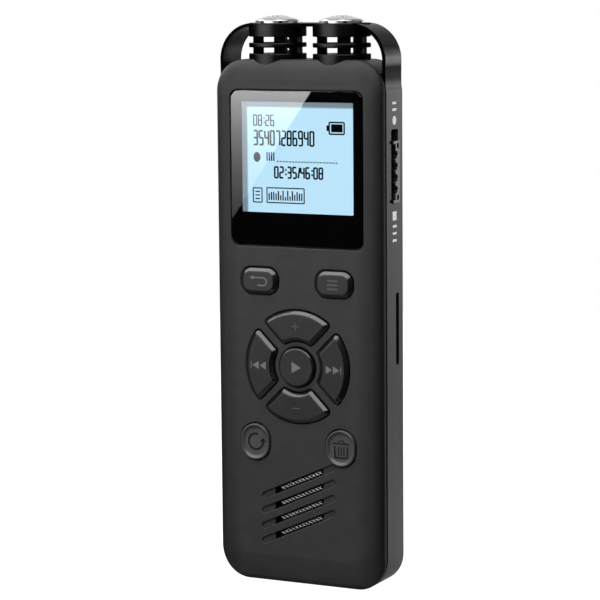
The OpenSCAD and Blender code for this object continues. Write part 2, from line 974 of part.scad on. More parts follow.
// Thin wall between the pillars of a cage, over the angles of its screen
module cage_screen(x) {
    reach = [for (angle = screen_angles) 2 * mic_r * [cos(angle), sin(angle)]];
    color([0.1, 0.1, 0.11])
        translate([x, 0, 0])
            intersection() {
                tube_z(cage_in_r + screen_t, cage_in_r, cage_floor_z, collar_z);
                translate([0, 0, cage_floor_z])
                    linear_extrude(collar_z - cage_floor_z)
                        polygon(concat([[0, 0]], reach));
            }
}

module left_mic_cage() {
    mic_cage(-mic_x);
    cage_screen(-mic_x);
}

module right_mic_cage() {
    mic_cage(mic_x);
}

// Trim ring over the arch's eye, notched where the strap runs into it
module mic_ring(x) {
    notch_z = eye_z + eye_t + slack;
    color([0.1, 0.1, 0.11])
        translate([x, 0, 0])
            difference() {
                tube_z(mic_r, eye_r, eye_z, arch_z);
                translate([0, 0, eye_z - past])
                    cylinder(r = eye_out_r + slack, h = notch_z - eye_z + past);
                box([-mic_r - past, -strap_y - slack, eye_z - past], [mic_r + past, strap_y + slack, notch_z]);
            }
}

module left_mic_ring() {
    mic_ring(-mic_x);
}

module right_mic_ring() {
    mic_ring(mic_x);
}

// Domed cap with a hexagon of fine holes
module mic_cap(x) {
    color([0.85, 0.85, 0.87])
        translate([x, 0, 0])
            difference() {
                intersection() {
                    translate([0, 0, cap_skirt_z])
                        cylinder(r = cap_r, h = cap_top_z - cap_skirt_z + past);
                    translate([0, 0, cap_top_z - dome_r])
                        sphere(r = dome_r);
                }
                intersection() {
                    translate([0, 0, cap_skirt_z - past])
                        cylinder(r = cap_r - cap_wall, h = cap_top_z - cap_skirt_z + past);
                    translate([0, 0, cap_top_z - dome_r])
                        sphere(r = dome_r - cap_wall);
                }
                for (row = [-cap_hole_rows : cap_hole_rows])
                    let (gaps = 2 * cap_hole_rows - abs(row))
                        for (column = [-gaps / 2 : gaps / 2])
                            translate([column * cap_hole_pitch, row * cap_hole_pitch * sin(60), arch_z])
                                cylinder(r = cap_hole_r, h = cap_h + past, $fn = 16);
            }
}

module left_mic_cap() {
    mic_cap(-mic_x);
}

module right_mic_cap() {
    mic_cap(mic_x);
}

module mic_capsule(x) {
    color([0.7, 0.7, 0.72])
        translate([x, 0, pocket_z])
            cylinder(r = capsule_r, h = capsule_z1 - pocket_z);
}

module left_mic_capsule() {
    mic_capsule(-mic_x);
}

module right_mic_capsule() {
    mic_capsule(mic_x);
}

module mic_seal(x) {
    color([0.08, 0.08, 0.08])
        translate([x, 0, 0])
            tube_z(eye_r - slack, capsule_r + slack, pocket_z, cap_skirt_z - slack);
}

module left_mic_seal() {
    mic_seal(-mic_x);
}

module right_mic_seal() {
    mic_seal(mic_x);
}

module mic_leads() {
    leads(mic_lead, mic_lead_xs, [0.75, 0.72, 0.65]);
}

// Slide with finger grips open to the front, held behind the band by its flange
module record_knob() {
    middle_z = (knob_z0 + knob_z1) / 2;
    top_x = half_w + knob_proud;
    front = switch_y - knob_half_d;
    color([0.12, 0.12, 0.13])
        difference() {
            union() {
                box(
                    [knob_flange_x1 - slack, switch_y - knob_half_d, knob_z0],
                    [top_x, switch_y + knob_half_d, knob_z1]
                );
                box(
                    [knob_flange_x0, switch_y - knob_flange_half_d, knob_z0 - knob_flange_over],
                    [knob_flange_x1, switch_y + knob_flange_half_d, knob_z1 + knob_flange_over]
                );
            }
            side_slab(top_x - grip_d, top_x + past)
                for (i = [0 : grip_count - 1])
                    let (z = middle_z + (i - (grip_count - 1) / 2) * grip_pitch)
                        rounded(front - past, front + grip_reach, z - grip_half_z, z + grip_half_z, grip_r);
            side_slab(top_x - end_pocket_d, top_x + past)
                for (z = [knob_z0 + end_pocket_z, knob_z1 - end_pocket_z])
                    rounded(
                        switch_y + end_pocket_y0, switch_y + end_pocket_y1,
                        z - end_pocket_half_z, z + end_pocket_half_z, end_pocket_r
                    );
            box(
                [knob_flange_x0 - past, switch_y - lever_half_d - slack, lever_z0 - slack],
                [lever_x1 + slack, switch_y + lever_half_d + slack, lever_z1 + slack]
            );
        }
}

module switch_lever() {
    color([0.85, 0.85, 0.82])
        box([lever_x0, switch_y - lever_half_d, lever_z0], [lever_x1, switch_y + lever_half_d, lever_z1]);
}

module switch_housing() {
    gap = 3 * slack;
    color([0.6, 0.6, 0.62])
        difference() {
            box([housing_x0, board_back, housing_z0], [housing_x1, housing_back, housing_z1]);
            box(
                [lever_x0 - gap, switch_y - lever_half_d - gap, lever_z0 - gap],
                [housing_x1 + past, switch_y + lever_half_d + gap, lever_z1 + switch_travel + gap]
            );
        }
}

module card_socket() {
    color([0.72, 0.72, 0.74])
        difference() {
            box([card_x0, board_back, card_z - card_half_z], [card_x1, card_back, card_z + card_half_z]);
            box(
                [card_x0 + card_end_wall, card_y - card_cavity_half_d, card_z - card_cavity_half_z],
                [card_x1 + past, card_y + card_cavity_half_d, card_z + card_cavity_half_z]
            );
        }
}

// Outline of the charging socket, larger all round by a margin
module usb_outline(margin) {
    half_d = usb_half_d + margin;
    half_z = usb_half_z + margin;
    rounded(usb_y - half_d, usb_y + half_d, usb_z - half_z, usb_z + half_z, usb_r + margin);
}

module usb_socket() {
    color([0.75, 0.75, 0.77]) {
        difference() {
            side_slab(usb_x0, usb_x1)
                usb_outline(0);
            side_slab(usb_x0 - past, usb_x1 - usb_wall)
                usb_outline(-usb_wall);
        }
        box(
            [usb_x0 + usb_tongue_set_back, usb_y - usb_tongue_half_d, usb_z - usb_tongue_half_z],
            [usb_x1 - usb_wall + slack, usb_y + usb_tongue_half_d, usb_z + usb_tongue_half_z]
        );
    }
}

module earphone_socket() {
    color([0.1, 0.1, 0.11])
        difference() {
            union() {
                box(
                    [jack_x0, jack_y - jack_half_d, jack_z - jack_half_z],
                    [jack_x1, jack_y + jack_half_d, jack_z + jack_half_z]
                );
                translate([-half_w, jack_y, jack_z])
                    rotate([0, 90, 0])
                        cylinder(r = jack_nose_r, h = half_w + jack_x0 + slack);
            }
            translate([-half_w - past, jack_y, jack_z])
                rotate([0, 90, 0])
                    cylinder(r = jack_r, h = half_w + jack_bore_end + past);
        }
}

module battery() {
    color([0.35, 0.4, 0.45])
        slab(battery_y0, battery_y1)
            rounded(-battery_half_w, battery_half_w, battery_z0, battery_z1, battery_r);
}

module battery_pad() {
    inset = 2;
    color([0.2, 0.2, 0.2])
        slab(battery_y1, -cover_in_y)
            translate([-battery_half_w + inset, battery_z0 + inset])
                square([2 * (battery_half_w - inset), battery_z1 - battery_z0 - 2 * inset]);
}

module battery_leads() {
    leads(battery_lead, battery_lead_xs, [0.15, 0.15, 0.15]);
}

front_cover();
rear_cover();
side_frame();
top_cap();
case_screws();
display_window();
lcd_panel();
lcd_backlight();
lcd_holder();
lcd_ribbon();
main_board();
board_chips();
key_switches();
return_key();
menu_key();
volume_up_key();
volume_down_key();
rewind_key();
forward_key();
play_key();
repeat_key();
delete_key();
speaker_mesh();
speaker_gasket();
speaker_frame();
speaker_cone();
speaker_magnet();
speaker_leads();
left_mic_cage();
right_mic_cage();
left_mic_ring();
right_mic_ring();
left_mic_cap();
right_mic_cap();
left_mic_capsule();
right_mic_capsule();
left_mic_seal();
right_mic_seal();
mic_leads();
record_knob();
switch_lever();
switch_housing();
card_socket();
usb_socket();
earphone_socket();
battery();
battery_pad();
battery_leads();
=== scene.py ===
"""Looks of the handheld voice recorder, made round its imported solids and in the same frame."""
import json
from math import asin, cos, degrees, pi, radians, sin, sqrt, tan

import bmesh
import bpy
from mathutils import Matrix, Vector


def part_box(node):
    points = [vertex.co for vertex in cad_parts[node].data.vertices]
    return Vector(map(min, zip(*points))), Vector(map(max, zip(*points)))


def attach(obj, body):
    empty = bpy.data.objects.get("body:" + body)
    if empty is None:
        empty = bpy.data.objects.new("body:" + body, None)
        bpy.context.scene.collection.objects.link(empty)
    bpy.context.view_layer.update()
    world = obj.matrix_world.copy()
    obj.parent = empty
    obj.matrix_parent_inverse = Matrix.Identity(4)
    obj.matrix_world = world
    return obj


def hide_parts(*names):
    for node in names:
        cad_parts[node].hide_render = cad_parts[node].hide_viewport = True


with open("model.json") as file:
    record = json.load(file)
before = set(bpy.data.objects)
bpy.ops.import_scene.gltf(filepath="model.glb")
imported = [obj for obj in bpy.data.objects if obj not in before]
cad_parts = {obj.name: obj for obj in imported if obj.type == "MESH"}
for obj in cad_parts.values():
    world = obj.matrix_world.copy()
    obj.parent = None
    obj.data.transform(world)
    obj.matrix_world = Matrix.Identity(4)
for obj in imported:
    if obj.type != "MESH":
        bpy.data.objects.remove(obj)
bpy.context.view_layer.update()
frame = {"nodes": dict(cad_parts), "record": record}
nodes = frame["nodes"]
scene = bpy.context.scene
slot_of = {part["node"]: part["material_slot"] for part in frame["record"]["subparts"]}

# Lengths below are in millimetres, and pieces are scaled to metres once they are shaped
MM = 0.001


def limits(node):
    """Lowest and highest corner of a solid in millimetres."""
    low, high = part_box(node)
    return low / MM, high / MM


cover_low, cover_high = limits("front_cover")
board_low, board_high = limits("main_board")
window_low, window_high = limits("display_window")
lcd_low, lcd_high = limits("lcd_panel")
knob_low, knob_high = limits("record_knob")
mesh_low, mesh_high = limits("speaker_mesh")
cage_low, cage_high = limits("right_mic_cage")
cap_low, cap_high = limits("right_mic_cap")

# Body
FRONT = cover_low.y
BACK = -FRONT
HALF_W = cover_high.x
COVER_H = cover_high.z
CORNER = 5.2
BAND_Y = (-3.1, 3.5)
BAND_WALL = 1.2
COVER_WALL = 1.4
TOP_WALL = 2.3
BOTTOM_WALL = 2.0
COVER_IN = FRONT + COVER_WALL
HOLLOW_X = 14.1
ROLL_SIDE = 3.3
ROLL_TOP = 3.6
ROLL_BOTTOM = 5.0
ROLL_CORNER = 1.5
ROLL_DEPTH = 1.6
ROLL_STEPS = 16
ROUND_POWER = 2.0
TOP_POWER = 1.6
CHIN_POWER = 1.3
LIP = 0.5
GROOVE = 0.35
REAR_INSET = 0.55
RIM = 0.26
FINE_RIM = 0.12
SLACK = 0.05
OVERLAP = 0.1
PAST = 1.0

# Screws and inner posts of the covers
BOSS_PLACES = [(x, z) for x in (-10.8, 10.8) for z in (5.2, 85.95)]
BOSS_R = 1.5
PILOT_R = 0.75
PILOT_END = -3.2
SHANK_R = 0.9
HEAD_POCKET_R = 1.5
HEAD_SEAT = BACK - 1.1
POST_PLACES = [(x, z) for x in (-12.3, 12.3) for z in (30, 57)]
POST_R = 0.8

# Microphone head
MIC_X = (cage_low.x + cage_high.x) / 2
MIC_XS = {"left": -MIC_X, "right": MIC_X}
MIC_R = (cage_high.x - cage_low.x) / 2
SEAT_Z = 88.45
SHOULDER_Z = (84.5, 86.0)
STRAP_HALF_W = 15.42
STRAP_Y = (-3.2, 3.4)
STRAP_T = 0.6
STRAP_WAIST = 0.03
ARCH_Z = limits("side_frame")[1].z
ARCH_R = 6.2
ARCH_FOOT = ARCH_Z - ARCH_R
EYE_R = 3.8
EYE_OUT_R = MIC_R - 0.35
EYE_T = 0.3
EYE_Z = ARCH_Z - STRAP_T

# Keys: centres on the front, half sizes of their holes and corner radii
PAIR_KEYS = ("return_key", "menu_key")
PAIR_X, PAIR_Z = 7.0, 52.3
PAIR_HALF = (3.6, 2.4)
PAIR_R = 2.05
OVAL_KEYS = ("repeat_key", "delete_key")
OVAL_X, OVAL_Z = 8.08, 24.5
OVAL_HALF = (2.83, 3.25)
OVAL_R = 2.78
PAD_Z = 37.9
PAD_R = 9.8
PAD_INNER_R = 4.3
PAD_RIB = 1.3
LOBE_R = 0.8
LOBE_CENTRE_R = 7.0
PLAY_R = 3.45
LEAST_R = 0.3
KEY_GAP = 0.15
KEY_BEVEL = 0.6
PLAY_BEVEL = 0.22
KEY_SOFT = 0.14
KEY_TOP = FRONT - 0.7
OVAL_TOP = FRONT - 0.45
OVAL_RIM = 0.2
DISH_SLOPE = 0.5
DISH_D = 0.48
FLANGE = 0.4
FLANGE_Y = (COVER_IN + 0.05, COVER_IN + 0.65)
STEM_R = 0.9
SIGN_T = 0.03

# Speaker
SPEAKER_Z = (mesh_low.z + mesh_high.z) / 2
SLOT_COUNT = 4
SLOT_PITCH = 2.62
SLOT_W = 1.1
SLOT_LEN = 15.3
SLOT_OPEN_X = 4.6
SLOT_OPEN_W = SLOT_W - 0.06
SLOT_POCKET = 0.3
SLOT_ANGLE = radians(24.1)

# Display: window, and the clear part of its printed mask
WINDOW_Z = (window_low.z + window_high.z) / 2
WINDOW_HALF = (window_high.x, (window_high.z - window_low.z) / 2)
WINDOW_R = 1.5
WINDOW_GAP = 0.22
CLEAR_HALF_W = 10.38
CLEAR_Z = (63.97, 82.65)
CLEAR_R = 0.2
MASK_T = 0.06
MASK_INSET = 0.03
MASK_Y = window_high.y - 0.02
LCD_LIP = 0.4
LCD_HOLE_R = 1.0
IMAGE_T = 0.02


# Outlines in X and Z; some are functions of an inset

def arc(x, z, r, start, end, steps):
    """Points on an arc, with angles in degrees from +X towards +Z."""
    angles = [radians(start + (end - start) * i / steps) for i in range(steps + 1)]
    return [(x + r * cos(a), z + r * sin(a)) for a in angles]


def round_outline(x0, x1, z0, z1, r, steps=12):
    """Rectangle with round corners."""
    return (arc(x1 - r, z0 + r, r, -90, 0, steps) + arc(x1 - r, z1 - r, r, 0, 90, steps)
            + arc(x0 + r, z1 - r, r, 90, 180, steps) + arc(x0 + r, z0 + r, r, 180, 270, steps))


def box_outline(x, z, half, r):
    """Rounded rectangle about a centre."""
    def outline(inset):
        return round_outline(x - half[0] + inset, x + half[0] - inset,
                             z - half[1] + inset, z + half[1] - inset, max(r - inset, LEAST_R))
    return outline


def circle(x, z, r, steps=64):
    """Points on a circle."""
    return arc(x, z, r, 0, 360, steps)[:-1]


def turn(points, angle):
    """Points turned clockwise about the middle of the direction keys."""
    c, s = cos(angle), sin(angle)
    return [(x * c + z * s, z * c - x * s + PAD_Z) for x, z in points]


def clock_arc(r, start, end, steps):
    """Points on an arc about the origin, with angles clockwise from +Z."""
    return [(x, z) for z, x in arc(0, 0, r, start, end, steps)]


def half_lobe(r_out, r_in, gap, fillet):
    """Right half of a direction key that points up, from its outer to its inner middle."""
    outer = 45 - degrees(asin((gap + fillet) / (r_out - fillet)))
    inner = 45 - degrees(asin((gap + fillet) / (r_in + fillet)))
    outer_x, outer_z = clock_arc(r_out - fillet, outer, outer, 1)[0]
    inner_x, inner_z = clock_arc(r_in + fillet, inner, inner, 1)[0]
    return (clock_arc(r_out, outer / 12, outer, 11)
            + [(x + outer_x, z + outer_z) for x, z in clock_arc(fillet, outer, 135, 7)]
            + [(x + inner_x, z + inner_z) for x, z in clock_arc(fillet, 135, inner + 180, 5)]
            + clock_arc(r_in, inner, inner / 12, 7))


def lobe_outline(angle, inner_inset=None):
    """Direction key turned to an angle; a fixed inset can be kept at its inner edge."""
    def outline(inset):
        inside = inset if inner_inset is None else inner_inset
        fillet = max(LOBE_R - inset, LEAST_R)
        right = half_lobe(PAD_R - inset, PAD_INNER_R + inside, PAD_RIB / 2 + inset, fillet)
        return turn([(-x, z) for x, z in right] + right[::-1], radians(angle))
    return outline


def on_slot(z, along, aside):
    """Point of a slot, by its distances from the middle along the slot and across it."""
    c, s = cos(SLOT_ANGLE), sin(SLOT_ANGLE)
    return along * c - aside * s, z + along * s + aside * c


def slot_outline(z):
    """Slanted slot with round ends."""
    def outline(inset):
        r = SLOT_W / 2 - inset
        reach = (SLOT_LEN - SLOT_W) / 2
        points = arc(reach, 0, r, -90, 90, 12) + arc(-reach, 0, r, 90, 270, 12)
        return [on_slot(z, *point) for point in points]
    return outline


def slot_opening(z, x0, x1, width):
    """Open part of a slot, with upright ends."""
    half = width / 2 / cos(SLOT_ANGLE)
    return [(x, z + x * tan(SLOT_ANGLE) + aside) for x, aside in corners(x0, x1, -half, half)]


def curve(start, knee, end, steps=3):
    """Points on a curve that leaves and arrives along the lines to its knee."""
    shares = [i / steps for i in range(steps + 1)]
    return [tuple(a * (1 - t) ** 2 + b * 2 * t * (1 - t) + c * t * t for a, b, c in zip(start, knee, end))
            for t in shares]


def stroke(points, width):
    """Outline of a line of even width."""
    path = [Vector(point) for point in points]
    steps = [(b - a).normalized() for a, b in zip(path, path[1:])]
    normals = [Vector((-step.y, step.x)) for step in steps]
    left, right = [], []
    for i, point in enumerate(path):
        before, after = normals[max(i - 1, 0)], normals[min(i, len(normals) - 1)]
        offset = (before + after) * width / 2 / (1 + before.dot(after))
        left.append(tuple(point + offset))
        right.append(tuple(point - offset))
    return left + right[::-1]


def bar(x0, z0, x1, z1, width):
    """Outline of a straight line."""
    return stroke([(x0, z0), (x1, z1)], width)


# Meshes as lists of vertices and faces

def ring(outline, y):
    """Outline set at a depth."""
    return [(x, y, z) for x, z in outline]


def rings(outline, steps):
    """Outlines for steps of inset and depth."""
    return [ring(outline(inset), y) for inset, y in steps]


def loft(loops, is_ring=False):
    """Solid through loops of equal length, with end faces or, for a ring, led back to the first loop."""
    count = len(loops[0])
    total = len(loops) * count
    faces = [] if is_ring else [tuple(range(count)), tuple(range(total - 1, total - count - 1, -1))]
    for k in range(len(loops) if is_ring else len(loops) - 1):
        for i in range(count):
            a, b = k * count + i, k * count + (i + 1) % count
            faces.append((a, (a + count) % total, (b + count) % total, b))
    return [point for loop in loops for point in loop], faces


def border(outer, inner, y0, y1):
    """Frame between two outlines with as many points, between two depths."""
    return loft([[(x0, y0, z0), (x0, y1, z0), (x1, y1, z1), (x1, y0, z1)]
                 for (x0, z0), (x1, z1) in zip(outer, inner)], True)


def prism(outline, start, end, axis=1):
    """Straight solid along an axis by its number, from an outline in the other two."""
    return loft([[(*point[:axis], at, *point[axis:]) for point in outline] for at in (start, end)])


def corners(x0, x1, z0, z1):
    """Corners of a rectangle."""
    return [(x0, z0), (x1, z0), (x1, z1), (x0, z1)]


def block(low, high):
    """Box between two corners."""
    return prism(corners(low[0], high[0], low[2], high[2]), low[1], high[1])


def rod(x, z, r, y0, y1):
    """Cylinder along Y."""
    return prism(circle(x, z, r, 48), y0, y1)


def rod_z(x, y, r, z0, z1, steps=96):
    """Cylinder along Z."""
    return prism(circle(x, y, r, steps), z0, z1, 2)


def lathe(profile, x, steps=72):
    """Ring about an upright axis at y = 0, from a closed profile of radius and height."""
    turns = [2 * pi * i / steps for i in range(steps)]
    return loft([[(x + r * cos(a), r * sin(a), z) for r, z in profile] for a in turns], True)


def sheet(rows):
    """Open sheet of four-sided faces through rows of points."""
    count = len(rows[0])
    starts = [row * count + i for row in range(len(rows) - 1) for i in range(count - 1)]
    faces = [(i, i + 1, i + count + 1, i + count) for i in starts]
    return [tuple(point) for row in rows for point in row], faces


def flip(mesh, facing):
    """Mesh with its depths turned to the front, for 1, or to the back, for -1."""
    verts, faces = mesh
    return [(x, facing * y, z) for x, y, z in verts], faces


def build(name, *meshes):
    """Object made of meshes, still in millimetres."""
    verts, faces = [], []
    for more_verts, more_faces in meshes:
        shift = len(verts)
        verts += more_verts
        faces += [tuple(i + shift for i in face) for face in more_faces]
    mesh = bpy.data.meshes.new(name)
    mesh.from_pydata(verts, [], faces)
    work = bmesh.new()
    work.from_mesh(mesh)
    bmesh.ops.recalc_face_normals(work, faces=work.faces)
    work.to_mesh(mesh)
    work.free()
    piece = bpy.data.objects.new(name, mesh)
    scene.collection.objects.link(piece)
    return piece


def bake_modifiers(piece):
    """Applies a piece's modifiers to its mesh."""
    graph = bpy.context.evaluated_depsgraph_get()
    mesh = bpy.data.meshes.new_from_object(piece.evaluated_get(graph))
    piece.modifiers.clear()
    piece.data = mesh


def combine(piece, operation, meshes):
    """Applies a boolean operation with meshes that don't touch each other."""
    tool = build("tool", *meshes)
    modifier = piece.modifiers.new("combine", "BOOLEAN")
    modifier.operation = operation
    modifier.object = tool
    modifier.solver = "EXACT"
    bake_modifiers(piece)
    bpy.data.objects.remove(tool)


def add(piece, *meshes):
    """Adds meshes to a piece."""
    combine(piece, "UNION", meshes)


def cut(piece, *meshes):
    """Cuts meshes out of a piece."""
    combine(piece, "DIFFERENCE", meshes)


def dress(piece, material, replaced=(), body="housing", sharp=32, accents=()):
    """Scales a piece to metres, smooths its shading, paints it and sets it on its body.

    An accent is another material and a test of a face that says where it goes.
    """
    mesh = piece.data
    mesh.transform(Matrix.Scale(MM, 4))
    mesh.materials.clear()
    mesh.materials.append(material)
    indices = [0] * len(mesh.polygons)
    for i, (paint, test) in enumerate(accents):
        mesh.materials.append(paint)
        indices = [i + 1 if test(face) else index for face, index in zip(mesh.polygons, indices)]
    mesh.polygons.foreach_set("material_index", indices)
    mesh.polygons.foreach_set("use_smooth", [True] * len(mesh.polygons))
    mesh.set_sharp_from_angle(angle=radians(sharp))
    modifier = piece.modifiers.new("normals", "WEIGHTED_NORMAL")
    modifier.keep_sharp = True
    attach(piece, body)
    if replaced:
        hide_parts(*replaced)


# Shader nodes

def feed(tree, shader, *values, **named):
    """Sets inputs of a shader node, in order or by name, to numbers or links them to outputs."""
    pairs = list(zip(shader.inputs, values))
    for name, value in named.items():
        pairs.append((shader.inputs[name.replace("_", " ").title().replace("Ior", "IOR")], value))
    for socket, value in pairs:
        if isinstance(value, bpy.types.NodeSocket):
            tree.links.new(value, socket)
        else:
            socket.default_value = value


def new_node(tree, kind, *values, settings=None, **named):
    """New shader node with its settings and inputs."""
    shader = tree.nodes.new("ShaderNode" + kind)
    for name, value in (settings or {}).items():
        setattr(shader, name, value)
    feed(tree, shader, *values, **named)
    return shader


def calc(tree, operation, first, second=0.0):
    """Result of an operation on two links or numbers."""
    return new_node(tree, "Math", first, second, settings={"operation": operation}).outputs["Value"]


def ease(tree, value, start, end, low=0.0, high=1.0, kind="SMOOTHSTEP"):
    """Value that goes from low to high between a start and an end."""
    spread = new_node(tree, "MapRange", settings={"interpolation_type": kind}, value=value,
                      from_min=start, from_max=end, to_min=low, to_max=high)
    return spread.outputs["Result"]


def ramp(tree, value, stops, kind="LINEAR"):
    """Colour for a value from 0 to 1, between colours given at stops."""
    shader = new_node(tree, "ValToRGB", fac=value)
    shader.color_ramp.interpolation = kind
    elements = shader.color_ramp.elements
    while len(elements) < len(stops):
        elements.new(0.5)
    for element, (at, colour) in zip(elements, stops):
        element.position = at
        element.color = (*colour, 1)
    return shader.outputs["Color"]


def mix(tree, blend, factor, a, b):
    """Colour mixed from two colours."""
    settings = {"data_type": "RGBA", "blend_type": blend}
    return new_node(tree, "Mix", settings=settings, factor=factor, a=a, b=b).outputs["Result"]


def place(tree):
    """Place in an object's own axes, in metres."""
    return new_node(tree, "TexCoord").outputs["Object"]


def axes(tree, vector):
    """X, Y and Z of a vector."""
    return new_node(tree, "SeparateXYZ", vector=vector).outputs


# Materials

def grey(value, tint=0.0):
    """Linear colour of an 8-bit screen grey, a little bluer by its tint."""
    share = value / 255
    level = share / 12.92 if share <= 0.04045 else ((share + 0.055) / 1.055) ** 2.4
    return level, level, level * (1 + tint)


NOISE = (0.3, 0.7)
COARSE = 12


def surface(name, colour, roughness, gloss=0.5, grain=0.25, relief=0.0, uneven=0.06,
            stretch=(1, 1, 1), **more):
    """Material whose colour and roughness vary a little, with a fine relief; grain and relief are lengths."""
    material = bpy.data.materials.new(name)
    material.use_nodes = True
    tree = material.node_tree
    shader = tree.nodes["Principled BSDF"]
    feed(tree, shader, specular_ior_level=gloss, **more)
    if not uneven:
        feed(tree, shader, base_color=(*colour, 1), roughness=roughness)
        return material
    vector = new_node(tree, "Mapping", vector=place(tree), scale=stretch).outputs["Vector"]
    fine, coarse = (new_node(tree, "TexNoise", vector=vector, scale=1 / (size * MM), detail=3).outputs["Fac"]
                    for size in (grain, grain * COARSE))
    stops = [(at, [min(channel * share, 1) for channel in colour])
             for at, share in zip(NOISE, (1 - uneven, 1 + uneven))]
    rough = ease(tree, fine, *NOISE, roughness * (1 - 2 * uneven), roughness * (1 + 2 * uneven), "LINEAR")
    feed(tree, shader, base_color=ramp(tree, coarse, stops), roughness=rough)
    if relief:
        bump = new_node(tree, "Bump", distance=relief * MM, height=fine)
        feed(tree, shader, normal=bump.outputs["Normal"])
    return material


def shade(material, axis, stops):
    """Multiplies a material's colour by shares given at distances from the middle along an axis, which paints
    shade and highlights into the colour.
    """
    tree = material.node_tree
    shader = tree.nodes["Principled BSDF"]
    start, end = stops[0][0], stops[-1][0]
    distance = calc(tree, "ABSOLUTE", axes(tree, place(tree))[axis])
    along = ease(tree, distance, start * MM, end * MM, kind="LINEAR")
    shares = ramp(tree, along, [((at - start) / (end - start), [share] * 3) for at, share in stops], "EASE")
    colour = shader.inputs["Base Color"].links[0].from_socket
    feed(tree, shader, base_color=mix(tree, "MULTIPLY", 1.0, colour, shares))


def brushed_with_painted_light(name, stops):
    """Metal with upright brush lines, with painted shade and painted highlight bands along its height."""
    material = surface(name, grey(130, 0.02), 0.28, metallic=1.0, relief=0.002,
                       stretch=(1, 1, 0.05), specular_tint=(0.5, 0.5, 0.5, 1))
    shade(material, "Z", stops)
    return material


def plastic(name, value, roughness, gloss=0.5, grain=0.2, relief=0.003):
    """Dark plastic by its screen grey."""
    return surface(name, grey(value, 0.02), roughness, gloss, grain, relief)


CELL = 0.2
CELL_BLUES = ((0.49, 0.775, 0.955, 1), (0.505, 0.79, 0.975, 1))
# Painted shadow of the window's mask on the screen: its blue, and the insets over which it fades at the top
# and at the left
SHADED_BLUE = (0.185, 0.25, 0.3, 1)
TOP_SHADE = (0.75, 1.15)
LEFT_SHADE = (0.55, 0.95)
SCREEN_GLOW = 1.06


def lit_screen(name):
    """Pale blue lit panel with a faint cell grid, and a painted shadow of the window's mask along its top and
    left.
    """
    material = surface(name, grey(40), 0.4)
    tree = material.node_tree
    at = place(tree)
    along = axes(tree, at)
    below_top = ease(tree, along["Z"], *((CLEAR_Z[1] - inset) * MM for inset in TOP_SHADE))
    past_left = ease(tree, along["X"], *((inset - CLEAR_HALF_W) * MM for inset in LEFT_SHADE))
    lit = calc(tree, "MULTIPLY", below_top, past_left)
    cells = new_node(tree, "TexChecker", at, *CELL_BLUES, 1 / (CELL * MM)).outputs["Color"]
    feed(tree, tree.nodes["Principled BSDF"], emission_strength=SCREEN_GLOW,
         emission_color=mix(tree, "MIX", lit, SHADED_BLUE, cells))
    return material


shell_with_painted_shade = plastic("shell_plastic", 60, 0.5, gloss=0.16, relief=0.004)
# Painted shade: the shell's colour darkens towards its side edges, along its bottom edge and over its top
# roll.
shade(shell_with_painted_shade, "X", ((10.5, 1.0), (13.2, 0.72), (15.5, 0.34)))
shade(shell_with_painted_shade, "Z", ((0.25, 0.06), (0.95, 1.0), (84.0, 1.0), (88.5, 0.6)))
# Painted light on the band metal: lighter under the shoulders, painted shade at the strap's foot and over the
# arch, and a painted highlight streak up the strap.
band_with_painted_light = brushed_with_painted_light("band_metal", ((70.0, 1.0), (84.0, 1.1), (85.1, 1.25), (86.8, 0.27), (88.4, 0.17),
                                    (89.4, 1.25), (90.7, 2.25), (92.0, 0.34), (95.8, 0.15)))
# Darker copy of the band metal for the strap's inner faces: painted shade.
strap_inner_shade = brushed_with_painted_light("strap_inner_shade", ((86.8, 0.18), (88.9, 0.17), (91.2, 0.5), (92.6, 0.2), (95.8, 0.18)))
key_face = plastic("key_plastic", 49, 0.33)
oval_face = plastic("oval_plastic", 78, 0.4, gloss=0.4)
# Dark glossy edge colour: on the keys' bevels and sides it is partly their gloss and partly painted shade; in
# the knob's grips and recess it is partly the knob's dark plastic and partly painted shade.
dark_edge_and_shade = plastic("dark_edge_and_shade", 26, 0.2, gloss=0.6, grain=0.3, relief=0.001)
# Light grey for the outer faces of the dark record knob: a painted highlight.
knob_face_highlight = plastic("knob_plastic", 98, 0.35)
black = plastic("black_plastic", 24, 0.22, grain=0.3, relief=0.001)
cage_black = surface("cage_black", grey(44, 0.02), 0.3, metallic=1.0, grain=0.2, relief=0.002,
                     stretch=(0.06, 0.06, 1), specular_tint=(0.35, 0.35, 0.35, 1))
top_plastic = plastic("top_plastic", 34, 0.5, gloss=0.2)
chrome = surface("chrome", grey(178, 0.01), 0.14, metallic=0.6, grain=0.6, uneven=0.03)
steel = surface("steel", grey(190), 0.3, metallic=1.0, grain=0.3, uneven=0.08)
# One steel mesh in two greys: light for the ridges that show in the slots, a painted highlight, and dark for
# the weave behind them, a painted shade.
mesh_steel_painted_light = surface("mesh_steel_painted_light", grey(168), 0.4, metallic=0.3, grain=0.3, uneven=0.08)
weave_steel_painted_shade = surface("weave_steel_painted_shade", grey(46), 0.5, metallic=0.3, grain=0.3, uneven=0.08)
pane = surface("window_pane", grey(255), 0.0, uneven=0.0, transmission_weight=1.0, ior=1.49)
mask = surface("window_mask", grey(5), 0.5, grain=0.5, gloss=0.0)
screen = lit_screen("lcd_face")
ink = surface("lcd_ink", grey(16, 0.3), 0.8, grain=0.3, gloss=0.0)
grey_ink = surface("lcd_grey_ink", grey(84, 0.1), 0.8, grain=0.3, gloss=0.0)
pale_print = surface("pale_print", grey(118), 0.5, grain=0.15)
faint_print = surface("faint_print", grey(84), 0.5, grain=0.15)
dark_print = surface("dark_print", grey(26), 0.6, grain=0.15, gloss=0.2)
white_print = surface("white_print", grey(188), 0.5, grain=0.15)

